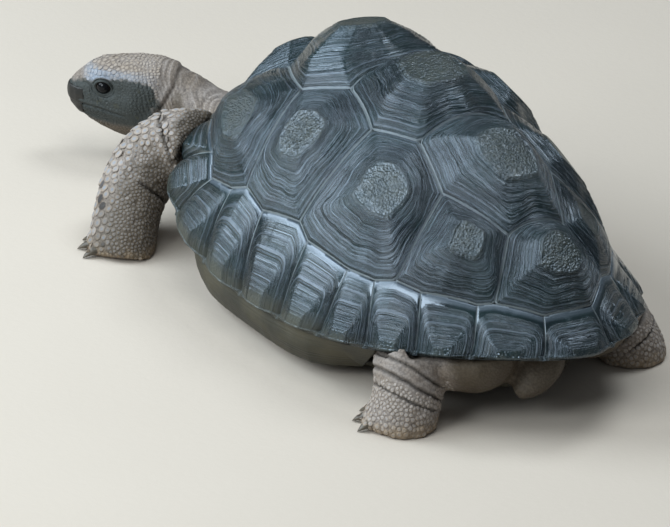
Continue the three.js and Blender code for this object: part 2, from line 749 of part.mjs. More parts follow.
// ---------------------------------------------------------------- putting the soft parts together
const wideTrunk = solid(trunkSolid(gap * 1.5))
  .add(solid(trunkSolid(0)))
  .add(solid(trunkSolid(0).translate(0, 0, -gap)))
  .add(rumpSolid(gap * 1.5));
plastronSeams.forEach((row) => add(row[0], plateSolid(row, 0), colours.plastron));

const bell = solid(bellSolid());
const widePlates = plastronSeams
  .map((row) => solid(plateSolid(row, gap)))
  .reduce((sum, plate) => sum.add(plate));
const clearOfShell = (piece) => piece.subtract(wideTrunk).subtract(widePlates).intersect(bell);
const largest = (piece) => piece.decompose().sort((a, b) => b.volume() - a.volume())[0];
const rumps = rumpSolid(0).subtract(widePlates).intersect(bell);
add("trunk", geometryOf(largest(solid(trunkSolid(0)).add(rumps))), colours.skin);

const wideNeck = solid(loft(neckStations, { sides: 14, grow: gap * 1.5 }));
const wideTail = solid(loft(tailStations, { sides: 10, grow: gap * 1.5 }));
const walking = [
  ["foreleg_left", foreleg, 1, { shift: 0, heading: 32, fan: [-56, -28, 0, 28, 56] }],
  ["foreleg_right", foreleg, -1, { shift: 9, heading: 26, fan: [-56, -28, 0, 28, 56] }],
  ["hindleg_left", hindleg, 1, { shift: 0, heading: 40, fan: [-45, -15, 15, 45] }],
  ["hindleg_right", hindleg.map(([x, y, z, width, height]) => [x - 4, y, z, width, height]), -1, { shift: -11, heading: 34, fan: [-45, -15, 15, 45] }],
];
walking.forEach(([name, stations, side, foot]) => {
  const leg = legSolid(stations, side, foot).subtract(wideNeck).subtract(wideTail);
  add(name, geometryOf(largest(clearOfShell(leg))), colours.skin);
});

const headShape = solid(headSolid(0));
const upperBeakPlace = (grow) => headSlab(-4, 7.6 + grow, -head.mouthDrop - grow, 2.6 + grow);
const lowerBeakPlace = (grow) => headSlab(-4, 6.8 + grow, -9 - grow, -head.mouthDrop - gap + grow);
const eyePlace = (side, grow) => {
  const ball = new THREE.SphereGeometry(head.eyeRadius + grow, 10, 7);
  const centre = headPoint(head.eyeBack, head.eyeOut * side, head.eyeUp);
  ball.translate(centre.x, centre.y, centre.z);
  return solid(ball);
};
const skull = headShape
  .subtract(upperBeakPlace(gap))
  .subtract(lowerBeakPlace(gap))
  .subtract(eyePlace(1, gap))
  .subtract(eyePlace(-1, gap));
add("head", geometryOf(largest(skull)), colours.skin);
add("beak_upper", geometryOf(headShape.intersect(upperBeakPlace(0))), colours.horn);
add("beak_lower", geometryOf(headShape.intersect(lowerBeakPlace(0))), colours.horn);
add("eye_left", geometryOf(eyePlace(1, 0)), colours.eye);
add("eye_right", geometryOf(eyePlace(-1, 0)), colours.eye);

const neck = clearOfShell(solid(loft(neckStations, { sides: 14 })).subtract(solid(headSolid(gap))));
add("neck", geometryOf(largest(neck)), colours.skin);
const tail = clearOfShell(solid(loft(tailStations, { sides: 10 })));
add("tail", geometryOf(largest(tail)), colours.skin);

// The model's footprint is centred on the origin.
const footprint = new THREE.Box3().setFromObject(tortoise).getCenter(new THREE.Vector3());
tortoise.children.forEach((mesh) => mesh.geometry.translate(-footprint.x, -footprint.y, 0));

export default tortoise;
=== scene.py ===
import math

import bpy
import numpy as np
from mathutils import Matrix, Vector


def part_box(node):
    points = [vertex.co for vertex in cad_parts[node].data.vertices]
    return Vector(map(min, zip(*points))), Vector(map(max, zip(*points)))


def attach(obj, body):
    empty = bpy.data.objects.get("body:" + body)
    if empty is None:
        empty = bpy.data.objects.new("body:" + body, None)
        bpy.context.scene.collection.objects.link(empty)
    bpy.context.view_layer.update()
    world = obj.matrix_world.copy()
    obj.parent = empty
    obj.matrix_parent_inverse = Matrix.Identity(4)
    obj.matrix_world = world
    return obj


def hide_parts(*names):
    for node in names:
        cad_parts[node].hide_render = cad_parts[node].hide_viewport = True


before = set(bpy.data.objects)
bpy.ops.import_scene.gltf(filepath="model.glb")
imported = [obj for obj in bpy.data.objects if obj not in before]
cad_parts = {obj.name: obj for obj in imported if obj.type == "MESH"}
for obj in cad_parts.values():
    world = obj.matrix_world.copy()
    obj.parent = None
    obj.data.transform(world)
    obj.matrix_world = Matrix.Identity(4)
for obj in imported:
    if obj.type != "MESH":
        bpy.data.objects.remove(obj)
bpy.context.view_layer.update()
mm = 0.001
print("frame loaded")


# ---- small tools for meshes

def deselectAll():
    if bpy.context.object and bpy.context.object.mode != "OBJECT":
        bpy.ops.object.mode_set(mode="OBJECT")
    bpy.ops.object.select_all(action="DESELECT")


def activate(piece):
    deselectAll()
    piece.select_set(True)
    bpy.context.view_layer.objects.active = piece


def coordinates(piece):
    flat = np.empty(len(piece.data.vertices) * 3)
    piece.data.vertices.foreach_get("co", flat)
    return flat.reshape(-1, 3)


def place(piece, points):
    piece.data.vertices.foreach_set("co", np.asarray(points, dtype=np.float64).ravel())
    piece.data.update()


def normals(piece):
    flat = np.empty(len(piece.data.vertices) * 3)
    piece.data.vertices.foreach_get("normal", flat)
    return flat.reshape(-1, 3)


# Writes values for the materials to read, one for each vertex.
def mark(piece, **layers):
    for name, values in layers.items():
        layer = piece.data.attributes.new(name, "FLOAT", "POINT")
        layer.data.foreach_set("value", np.asarray(values, dtype=np.float32))


def applyModifier(piece, kind, **settings):
    activate(piece)
    modifier = piece.modifiers.new(kind, kind)
    for key, value in settings.items():
        setattr(modifier, key, value)
    bpy.ops.object.modifier_apply(modifier=kind)


def smoothstep(low, high, value):
    share = np.clip((value - low) / (high - low), 0, 1)
    return share * share * (3 - 2 * share)


def lerp(a, b, share):
    return a + (b - a) * share


def bell(away, width):
    return np.exp(-((away / width) ** 2))


def unit(vectors):
    return vectors / np.maximum(np.linalg.norm(vectors, axis=-1, keepdims=True), 1e-6)


# Even noise from -1 to 1 at points of a lattice, blended between them.
def noise(points, seed):
    cell = np.floor(points).astype(np.int64)
    part = points - cell
    part = part * part * (3 - 2 * part)
    total = np.zeros(len(points))
    for step in np.ndindex(2, 2, 2):
        x, y, z = (cell + step).T
        # Large odd numbers scatter the lattice's corners, and the last 16 bits give the value.
        key = (x * 73856093) ^ (y * 19349663) ^ (z * 83492791) ^ (seed * 2654435)
        key = ((key ^ (key >> 13)) * 1274126177) & 0xFFFFFFFF
        key = ((key ^ (key >> 15)) * 2246822519) & 0xFFFFFFFF
        value = (key & 0xFFFF) / 32767.5 - 1
        share = np.where(step, part, 1 - part)
        total += value * (share[:, 0] * share[:, 1] * share[:, 2])
    return total


def layeredNoise(points, seed, octaves=3):
    return sum(noise(points * 2.0**i, seed + i) / 2.0**i for i in range(octaves)) / 1.75


# ---- shader maths

class Socket:
    # A node's output that can stand in a sum.
    def __init__(self, paint, output):
        self.paint = paint
        self.output = output

    def math(self, operation, *others):
        return self.paint.node("ShaderNodeMath", {"operation": operation}, [self, *others])

    def __add__(self, other):
        return self.math("ADD", other)

    def __sub__(self, other):
        return self.math("SUBTRACT", other)

    def __mul__(self, other):
        return self.math("MULTIPLY", other)

    def __rsub__(self, other):
        return self.paint.node("ShaderNodeMath", {"operation": "SUBTRACT"}, [other, self])

    __radd__ = __add__
    __rmul__ = __mul__


class Paint:
    # A material and one method that adds any node to it.
    def __init__(self, name):
        self.material = bpy.data.materials.new(name)
        self.material.use_nodes = True
        self.tree = self.material.node_tree
        self.tree.nodes.clear()

    def node(self, kind, settings=None, sockets=None, output=0):
        made = self.tree.nodes.new(kind)
        for key, value in (settings or {}).items():
            setattr(made, key, value)
        pairs = sockets.items() if isinstance(sockets, dict) else enumerate(sockets or [])
        for key, value in pairs:
            if isinstance(value, Socket):
                self.tree.links.new(value.output, made.inputs[key])
            elif value is not None:
                target = made.inputs[key]
                if target.type == "RGBA" and len(value) == 3:
                    value = (*value, 1)
                target.default_value = value
        return Socket(self, made.outputs[output]) if len(made.outputs) else None

    def mix(self, factor, first, second):
        return self.node("ShaderNodeMix", {"data_type": "RGBA"}, {0: factor, 6: first, 7: second}, output=2)

    def ramp(self, value, low, high):
        settings = {"interpolation_type": "SMOOTHSTEP"}
        return self.node("ShaderNodeMapRange", settings, {0: value, 1: low, 2: high, 3: 0.0, 4: 1.0})

    def place(self):
        return self.node("ShaderNodeTexCoord", output=3)

    def attribute(self, name):
        return self.node("ShaderNodeAttribute", {"attribute_name": name}, output=2)

    def grain(self, where, scale, detail=2.0, roughness=0.55):
        values = {"Vector": where, "Scale": scale, "Detail": detail, "Roughness": roughness}
        return self.node("ShaderNodeTexNoise", {"noise_dimensions": "3D"}, values)

    # Noise along one value, for lines that follow it.
    def lines(self, value, scale, detail, roughness=0.5):
        values = {"W": value, "Scale": scale, "Detail": detail, "Roughness": roughness}
        return self.node("ShaderNodeTexNoise", {"noise_dimensions": "1D"}, values)

    def cells(self, where, scale):
        return self.node("ShaderNodeTexVoronoi", None, {"Vector": where, "Scale": scale})

    def bump(self, height, strength, distance, under=None):
        values = {"Strength": strength, "Distance": distance, "Height": height, "Normal": under}
        return self.node("ShaderNodeBump", None, values)

    def finish(self, sockets):
        surface = self.node("ShaderNodeBsdfPrincipled", None, sockets)
        self.node("ShaderNodeOutputMaterial", None, {"Surface": surface})
        return self.material


horn = {
    "dark": (0.0026, 0.0085, 0.0100),
    "green": (0.0060, 0.0200, 0.0200),
    "blue": (0.170, 0.205, 0.255),
    "areolaLight": (0.052, 0.056, 0.042),
    "areolaDark": (0.011, 0.017, 0.014),
    "dust": (0.050, 0.046, 0.021),
    "band": (0.085, 0.110, 0.135),
    "seam": (0.250, 0.285, 0.300),
    "tint": (0.74, 0.86, 1.0),
    "broadScale": 55.0,
    "fineScale": 420.0,
    "patchScale": 240.0,
    "lineScale": 17.0,
    "grainScale": 1000.0,
    "lineDepth": 0.0009,
    "pebbleDepth": 0.0008,
    "fineDepth": 0.0004,
    "polish": 0.15,
    "coat": 0.15,
}


def hornMaterial():
    paint = Paint("shellHorn")
    where = paint.place()
    ring, areola, dusty, edge, band = map(paint.attribute, ("ring", "areola", "dusty", "edge", "band"))
    broad = paint.grain(where, horn["broadScale"], 3.0)
    fine = paint.grain(where, horn["fineScale"], 3.0, 0.65)
    patches = paint.grain(where, horn["patchScale"], 4.0, 0.7)
    # Fine pale-blue lines run along the rings, broken up in places: partly a whitish bloom on the horn,
    # partly a painted reflection of the sky on the ridges.
    lines = paint.lines(ring, horn["lineScale"], 4.0, 0.78)
    bloomAndSheenLines = paint.ramp(lines + (broad - 0.5) * 0.4 + (patches - 0.5) * 0.35, 0.53, 0.64)
    base = paint.mix(paint.ramp(broad, 0.35, 0.68), horn["dark"], horn["green"])
    base = paint.mix(bloomAndSheenLines * 0.3 * (1 - areola), base, horn["blue"])
    # The granular middle is browner, and dust lies on the lower rim.
    grains = paint.cells(where, horn["grainScale"])
    pitted = patches * 0.7 + grains * 0.55
    middle = paint.mix(paint.ramp(pitted, 0.32, 0.95), horn["areolaDark"], horn["areolaLight"])
    base = paint.mix(paint.ramp(areola + (patches - 0.5) * 1.1, 0.25, 1.0) * 0.85, base, middle)
    dust = paint.ramp(broad * 0.5 + dusty + (fine - 0.5) * 0.45, 0.5, 1.15)
    base = paint.mix(dust * 0.75, base, horn["dust"])
    base = paint.mix(band * (0.35 + patches * 0.6), base, horn["band"])
    seam = 1 - paint.ramp(edge + (fine - 0.5) * 0.35 + dusty * 0.2, 0.18, 0.48)
    base = paint.mix(seam * 0.8, base, horn["seam"])
    rough = horn["polish"] + bloomAndSheenLines * 0.05 + paint.ramp(broad, 0.45, 0.75) * 0.09 + areola * 0.18 + dust * 0.3
    rough = rough + seam * 0.3 + band * 0.12
    lineBump = paint.bump(lines, 1.0, horn["lineDepth"])
    pebbles = paint.bump(pitted * areola, 1.0, horn["pebbleDepth"], lineBump)
    surface = paint.bump(fine, 0.14, horn["fineDepth"], pebbles)
    coat = horn["coat"] * (1 - areola) * (1 - seam)
    return paint.finish({
        "Base Color": base,
        "Roughness": rough,
        "Normal": surface,
        "Specular IOR Level": 0.95,
        "Specular Tint": horn["tint"],
        "Coat Weight": coat,
        "Coat Roughness": 0.2,
    })


shellHorn = hornMaterial()


# ---- the shell's dome, from the same named values as the solids

shell = {
    "halfWidth": 75.8,
    "halfLength": 110.5,
    "crown": 98.2,
    "apexY": -11.5,
    "taper": 0.08,
    "rimMiddle": 30.7,
    "rimFlare": 10.2,
    "rimFront": 3.0,
    "square": 2.45,
    "squareFront": 0.7,
    "domePower": 1.5,
    "domeFront": -0.17,
    "domeEnds": 0.05,
    "pitch": 2.06,
    "offSide": 0.12,
    "offSideDrop": 0.35,
}
widthBox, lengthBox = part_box("gular"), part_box("abdominal")
middleX = (widthBox[0][0] + widthBox[1][0]) / 2 / mm
middleY = (lengthBox[0][1] + lengthBox[1][1]) / 2 / mm
shellMiddle = np.array([middleX, middleY, 0])


# p runs to the left and q to the back, 0 at the apex and hypot 1 on the rim; millimetres come out.
def domePoint(p, q):
    rho = np.maximum(np.hypot(p, q), 1e-6)
    front, side = -q / rho, p / rho
    power = shell["square"] + shell["squareFront"] * front
    reach = (np.abs(side) ** power + np.abs(front) ** power) ** (-1 / power)
    # The right rear quarter is narrower, and falls away earlier.
    uneven = np.maximum(-side, 0) ** 1.5 * smoothstep(-0.4, 0.5, -front)
    rimX = shell["halfWidth"] * side * reach * (1 + shell["taper"] * front) * (1 - shell["offSide"] * uneven)
    rimY = -shell["halfLength"] * front * reach
    rimZ = shell["rimMiddle"] + shell["rimFlare"] * (2 * front**2 - 1)
    rimZ = rimZ + shell["rimFront"] * (4 * front**3 - 3 * front)
    drop = shell["domePower"] + shell["domeFront"] * front + shell["domeEnds"] * (2 * front**2 - 1)
    drop = drop + shell["offSideDrop"] * uneven
    angle = np.minimum(rho, 1) * math.pi / 2
    out = np.sin(angle)
    up = np.maximum(np.cos(angle), 0) ** drop
    y = shell["apexY"] + out * (rimY - shell["apexY"])
    z = rimZ + (shell["crown"] - rimZ) * up
    tilt = math.radians(shell["pitch"])
    tilted = (out * rimX, y * math.cos(tilt) + z * math.sin(tilt), z * math.cos(tilt) - y * math.sin(tilt))
    return np.stack(tilted, -1)


def domeNormal(p, q):
    rho = np.hypot(p, q)
    shrink = np.where(rho > 0.95, 0.95 / np.maximum(rho, 1e-6), 1)
    a, b, step = p * shrink, q * shrink, 0.01
    alongP = domePoint(a + step, b) - domePoint(a - step, b)
    alongQ = domePoint(a, b + step) - domePoint(a, b - step)
    normal = unit(np.cross(alongP, alongQ))
    return np.where(normal[..., 2:3] < 0, -normal, normal)


def onDome(pq):
    return domePoint(pq[:, 0], pq[:, 1])


def normalAt(pq):
    return domeNormal(pq[:, 0], pq[:, 1])


def toMetres(points):
    return (points + shellMiddle) * mm


joints = {
    "nuchalV1": (0.1, -0.8),
    "v1C1": (0.28, -0.68),
    "m1C1": (0.41, -0.56),
    "v1v2C1": (0.133, -0.524),
    "c1c2V2": (0.257, -0.225),
    "v2v3C2": (0.188, -0.107),
    "c2c3V3": (0.276, 0.036),
    "v3v4C3": (0.204, 0.152),
    "c3c4V4": (0.261, 0.3),
    "v4v5C4": (0.137, 0.476),
    "c4V5": (0.318, 0.628),
    "m11V5": (0.152, 0.726),
    "c1c2": (0.598, -0.223),
    "c2c3": (0.618, 0.015),
    "c3c4": (0.554, 0.38),
    "m2C1": (0.525, -0.419),
    "m3C1": (0.606, -0.379),
    "m4C1": (0.616, -0.28),
    "m5C2": (0.643, -0.133),
    "m6C3": (0.65, 0.073),
    "m7C3": (0.634, 0.242),
    "m8C3": (0.602, 0.331),
    "m9C4": (0.518, 0.462),
    "m10C4": (0.379, 0.604),
}
# On the right these lie nearer the middle line.
offSideJoints = {"v4v5C4": 0.92, "c3c4V4": 0.94, "c4V5": 0.76, "m11V5": 0.66, "m10C4": 0.88, "m9C4": 0.94}
sides = (("left", 1), ("right", -1))
# Where one marginal ends and the next begins, in degrees from the front.
rimAngles = {
    "left": [7, 22, 36, 52, 68, 82, 95, 107, 119, 131, 145, 165.5],
    "right": [7, 22, 36, 52, 68, 82, 95, 107, 119, 131, 146, 168.5],
}


def corner(name, side):
    p, q = joints[name]
    return np.array([p * side * (offSideJoints.get(name, 1) if side < 0 else 1), q])


# ---- scutes: a sleeve of loops laid from the areola over the rings to the seam and back under

scutes = {
    "columns": 150,
    "areolaLoops": 16,
    "ringLoops": 104,
    "wallLoops": 2,
    "underLoops": 3,
    "sink": 0.6,
    "wall": 1.9,
    "edgeGap": 0.04,
    "areolaHollow": 0.6,
    "areolaGrain": 0.14,
    "rings": 17,
    "terrace": 0.60,
    "groove": 0.34,
    "rounding": 2,
    "roundedTo": (0.55, 0.98),
    "areolaEven": 0.45,
    "areolaRagged": 0.09,
    "mitreWander": 0.019,
    "ringWander": 0.022,
    "slope": 0.93,
    "loose": 0.28,
    "edgeReach": 0.62,
    "seed": 5,
}
random = np.random.RandomState(scutes["seed"])
# Every scute tells the same story of good and lean months, so they share the rings' widths.
ringWidths = np.exp(random.normal(0, 0.5, scutes["rings"])) * np.linspace(0.75, 1.4, scutes["rings"])
ringEdges = np.concatenate([[0], np.cumsum(ringWidths)]) / ringWidths.sum()
ringStep = random.uniform(0.35, 1.35, scutes["rings"])
ringStep *= 0.6 + 0.7 * ringWidths / ringWidths.max()


# Height of the rings' terraces and grooves at a share of the way out.
def ringRelief(out):
    index = np.clip(np.searchsorted(ringEdges, out, side="right") - 1, 0, scutes["rings"] - 1)
    width = ringEdges[index + 1] - ringEdges[index]
    inside = np.clip((out - ringEdges[index]) / width, 0, 1)
    step = ringStep[index]
    rise = scutes["terrace"] * step * (inside**1.4 - 0.55)
    edge = bell(1 - inside, 0.16) + bell(inside, 0.1)
    minor = 0.05 * np.sin(inside * math.pi * 2 * np.round(2 + 3 * step))
    return rise - scutes["groove"] * edge * step + minor


# A line from corner to corner; a bow lifts its middle towards the front of the shell.
def bowed(a, b, t, bow):
    line = a + (b - a) * t[:, None]
    line[:, 1] -= bow * 4 * t * (1 - t)
    return line


# Points round an outline, evenly spaced, with one on every corner.
def outlinePoints(corners, count, bows):
    ends = corners[1:] + corners[:1]
    bows = bows or [0] * len(corners)
    spans = []
    for a, b, bow in zip(corners, ends, bows):
        line = bowed(a, b, np.linspace(0, 1, 9), bow)
        spans.append(np.linalg.norm(np.diff(onDome(line), axis=0), axis=1).sum())
    shares = np.array(spans) / sum(spans) * count
    counts = np.maximum(np.round(shares).astype(int), 2)
    counts[np.argmax(counts)] += count - counts.sum()
    return np.concatenate([
        bowed(a, b, np.arange(number) / number, bow) for a, b, bow, number in zip(corners, ends, bows, counts)
    ])


def cutSlopes(piece, cuts):
    bpy.ops.object.mode_set(mode="EDIT")
    bpy.ops.mesh.select_mode(type="EDGE")
    bpy.ops.mesh.select_all(action="DESELECT")
    bpy.ops.object.mode_set(mode="OBJECT")
    points = coordinates(piece)
    ends = np.empty(len(piece.data.edges) * 2, dtype=np.int32)
    piece.data.edges.foreach_get("vertices", ends)
    ends = points[ends.reshape(-1, 2), 2]
    piece.data.edges.foreach_set("select", np.abs(ends[:, 0] - ends[:, 1]) > 0.5)
    bpy.ops.object.mode_set(mode="EDIT")
    bpy.ops.mesh.subdivide(number_cuts=cuts)
    bpy.ops.mesh.select_mode(type="VERT")
    bpy.ops.object.mode_set(mode="OBJECT")


# A sleeve: one tapering tube whose slanting edges are cut into loops, ready to be laid out.
def sleeve(name, columns, loops, ends="NOTHING"):
    deselectAll()
    bpy.ops.mesh.primitive_cone_add(vertices=columns, radius1=2, radius2=1, depth=loops, end_fill_type=ends)
    piece = bpy.context.object
    piece.name = f"{name}_horn"
    piece.data.name = piece.name
    # One subdivision makes 100 cuts at most, so a long sleeve is cut twice.
    first = 5 if loops > 100 and loops % 5 == 0 else 1
    for cuts in (first - 1, loops // first - 1):
        if cuts:
            cutSlopes(piece, cuts)
    points = coordinates(piece)
    column = np.round(np.arctan2(points[:, 1], points[:, 0]) / (2 * math.pi) * columns).astype(int) % columns
    loop = np.round(loops / 2 - points[:, 2]).astype(int)
    return piece, column, loop


# Merges doubles and turns every face outwards, and stays in edit mode.
def weld():
    bpy.ops.object.mode_set(mode="EDIT")
    bpy.ops.mesh.select_all(action="SELECT")
    bpy.ops.mesh.remove_doubles(threshold=1e-6)
    bpy.ops.mesh.normals_make_consistent(inside=False)


def closeSleeve(piece):
    activate(piece)
    weld()
    bpy.ops.object.mode_set(mode="OBJECT")
    bpy.ops.object.shade_smooth()


# Fills a sleeve's open ends, and closes it.
def capSleeve(piece):
    activate(piece)
    bpy.ops.object.mode_set(mode="EDIT")
    bpy.ops.mesh.select_all(action="DESELECT")
    bpy.ops.mesh.select_non_manifold()
    bpy.ops.mesh.edge_face_add()
    bpy.ops.object.mode_set(mode="OBJECT")
    closeSleeve(piece)


def finishPiece(piece, material, slot, *nodes):
    piece.data.materials.append(material)
    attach(piece, "root")
    if nodes:
        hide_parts(*nodes)


def makeScute(name, corners, centre, rise, share, seed, bows=None):
    s = scutes
    columns = s["columns"]
    loops = s["areolaLoops"] + s["ringLoops"] + s["wallLoops"] + s["underLoops"]
    piece, column, loop = sleeve(name, columns, loops)
    outline = outlinePoints(corners, columns, bows)
    # Young rings have rounder corners than the seam.
    soft = outline
    for i in range(2):
        soft = sum(np.roll(soft, step, 0) for step in range(-s["rounding"], s["rounding"] + 1))
        soft = soft / (2 * s["rounding"] + 1)
    centre = np.array(centre)
    # How far out of the areola each loop lies: below 0 is inside it, above 1 is under the plate.
    steps = np.concatenate([
        np.linspace(-1, 0, s["areolaLoops"], endpoint=False),
        np.linspace(0, 1, s["ringLoops"]),
        1 + np.arange(1, s["wallLoops"] + s["underLoops"] + 2),
    ])
    out = steps[loop]
    flank = np.clip(out, 0, 1)
    edge = lerp(soft[column], outline[column], smoothstep(*s["roundedTo"], flank)[:, None])
    spokes = soft[column] - centre
    lengths = np.linalg.norm(soft - centre, axis=1)
    even = lerp(1, lengths.mean() / lengths, s["areolaEven"])[column]
    lattice = np.column_stack([outline, outline[:, 0] * 0]) * 16
    ragged = 1 + s["areolaRagged"] * layeredNoise(lattice, seed, 2)
    inner = centre + spokes * (share * even * ragged[column])[:, None]
    pq = inner + (edge - inner) * flank[:, None]
    # The mitres between the facets wander.
    lattice = np.column_stack([pq * 11, np.zeros(len(out))])
    drift = np.stack([layeredNoise(lattice, seed + 20, 2), layeredNoise(lattice, seed + 30, 2)], -1)
    pq = pq + drift * (s["mitreWander"] * np.sin(flank * math.pi))[:, None]
    middle = np.clip(1 + out, 0, 1)
    pq = np.where(out[:, None] < 0, centre + (inner - centre) * middle[:, None], pq)
    underStart = 1 + s["wallLoops"]
    under = np.clip((out - underStart) / s["underLoops"], 0, 1)
    pq = np.where(out[:, None] > underStart, edge + (centre - edge) * under[:, None], pq)
    base, normal = onDome(pq), normalAt(pq)
    wobble = layeredNoise(base * 0.11, seed, 2)
    # Rings wander a little and crowd where the plate grew slowly.
    wobble = 0.7 * wobble + 0.5 * layeredNoise(base * 0.3, seed + 2, 2)
    ringAt = np.clip(flank + s["ringWander"] * wobble * np.sin(flank * math.pi), 0, 1)
    fade = smoothstep(0, 0.03, flank) * (1 - smoothstep(0.97, 1.0, flank))
    strength = 0.8 + 0.55 * layeredNoise(base * 0.045 + 7, seed + 3, 2)
    height = lerp(-s["sink"], rise, (1 - flank) ** s["slope"]) + ringRelief(ringAt) * fade * strength
    height += s["loose"] * layeredNoise(base * 0.13, seed + 9, 3) * fade
    # Towards the seam the plate rolls over into a narrow groove.
    seamWay = np.linalg.norm(onDome(outline[column]) - base, axis=1)
    height -= 0.3 * np.exp(-seamWay / 0.5)
    pebble = layeredNoise(base * 1.9, seed + 5, 2)
    faint = ringRelief(np.clip(1 - middle, 0, 1)) * 0.35 * smoothstep(0.45, 0.95, middle)
    top = rise - s["areolaHollow"] * (1 - middle**2) + s["areolaGrain"] * pebble + faint
    height = np.where(out < 0, top - 0.12 * smoothstep(0.7, 1.0, middle), height)
    down = np.clip(out - 1, 0, s["wallLoops"]) / s["wallLoops"] * s["wall"]
    height = np.where(out > 1, -s["sink"] - 0.3 - down, height)
    points = base + normal * height[:, None]
    # The seam's edge keeps clear of its neighbours.
    inwards = onDome(centre[None]) - base
    inwards -= normal * (inwards * normal).sum(1, keepdims=True)
    points += unit(inwards) * (s["edgeGap"] * smoothstep(0.9, 1, flank))[:, None]
    place(piece, toMetres(points))
    mark(
        piece,
        ring=np.where(out < 0, 0.12 * out, np.where(out > 1, 1, ringAt)),
        areola=np.where(out < 0, smoothstep(0.0, 0.5, -out) * 0.3 + 0.7, 0.7 * smoothstep(0.2, 0.0, flank)),
        dusty=np.zeros(len(out)),
        band=np.zeros(len(out)),
        edge=np.where(out > 1, 0, np.minimum(seamWay * s["edgeReach"], 6)),
    )
    closeSleeve(piece)
    finishPiece(piece, shellHorn, "carapace", name)


vertebrals = {
    "corners": [
        ["nuchalV1", "v1C1", "v1v2C1"],
        ["v1v2C1", "c1c2V2", "v2v3C2"],
        ["v2v3C2", "c2c3V3", "v3v4C3"],
        ["v3v4C3", "c3c4V4", "v4v5C4"],
        ["v4v5C4", "c4V5", "m11V5"],
    ],
    "centres": [-0.655, -0.29, 0.02, 0.305, 0.565],
    "rise": [10.5, 12.5, 8.5, 7.5, 6.0],
    "share": [0.32, 0.28, 0.38, 0.36, 0.34],
    # Bows of the seams in front of each plate and behind it.
    "bows": [0.0, 0.0, 0.006, 0.004, 0.018, 0.0],
}
for i, names in enumerate(vertebrals["corners"]):
    outline = [corner(n, 1) for n in names] + [corner(n, -1) for n in reversed(names)]
    centre, rise, share = (vertebrals[key][i] for key in ("centres", "rise", "share"))
    front, back = vertebrals["bows"][i : i + 2]
    makeScute(f"vertebral_{i + 1}", outline, (0, centre), rise, share, 11 + i, [0, 0, back, 0, 0, front])
costals = {
    "corners": [
        ["v1C1", "v1v2C1", "c1c2V2", "c1c2", "m4C1", "m3C1", "m2C1", "m1C1"],
        ["c1c2V2", "v2v3C2", "c2c3V3", "c2c3", "m5C2", "c1c2"],
        ["c2c3V3", "v3v4C3", "c3c4V4", "c3c4", "m8C3", "m7C3", "m6C3", "c2c3"],
        ["c3c4V4", "v4v5C4", "c4V5", "m10C4", "m9C4", "c3c4"],
    ],
    "centres": [(0.41, -0.33), (0.395, -0.105), (0.378, 0.2), (0.275, 0.445)],
    "rise": {"left": [5.0, 5.5, 4.5, 5.5], "right": [5.0, 4.5, 4.0, 2.4]},
    "share": [0.32, 0.36, 0.34, 0.3],
}
for word, side in sides:
    for i, names in enumerate(costals["corners"]):
        outline = [corner(n, side) for n in names]
        p, q = costals["centres"][i]
        rise, share = costals["rise"][word][i], costals["share"][i]
        makeScute(f"costal_{word}_{i + 1}", outline, (p * side, q), rise, share, 31 + i + side)
print("scutes laid")

# ---- marginals: a tube along the rim, its profile running down the outside, round the lip and up inside

marginals = {
    "tops": [
        ["nuchalV1", "v1C1", "m1C1"],
        ["m1C1", "m2C1"],
        ["m2C1", "m3C1"],
        ["m3C1", "m4C1"],
        ["m4C1", "c1c2", "m5C2"],
        ["m5C2", "c2c3", "m6C3"],
        ["m6C3", "m7C3"],
        ["m7C3", "m8C3"],
        ["m8C3", "c3c4", "m9C4"],
        ["m9C4", "m10C4"],
        ["m10C4", "c4V5", "m11V5"],
    ],
    "outside": 80,
    "lipRows": 9,
    "inside": 10,
    "stations": 90,
    "rise": 2.5,
    "lip": 2.4,
    "turnedIn": 6.5,
    "sink": 0.7,
    "share": 0.3,
    "band": 2.4,
    "archFoot": 0.74,
    "arch": 5,
    "firstRing": 0.42,
    "lipTurn": 160,
    "underDrop": 2.2,
    "wall": 2.6,
    "seamGap": 0.04,
    "dusty": [0.3, 0.4, 0.5, 0.75, 0.85, 0.9, 0.85, 0.6, 0.4, 0.3, 0.3],
}


# Points along an open line through corners, evenly spaced.
def linePoints(corners, count):
    corners = np.array(corners)
    points = onDome(corners)
    lengths = np.concatenate([[0], np.cumsum(np.linalg.norm(np.diff(points, axis=0), axis=1))])
    at = np.linspace(0, lengths[-1], count)
    return np.stack([np.interp(at, lengths, corners[:, 0]), np.interp(at, lengths, corners[:, 1])], -1)


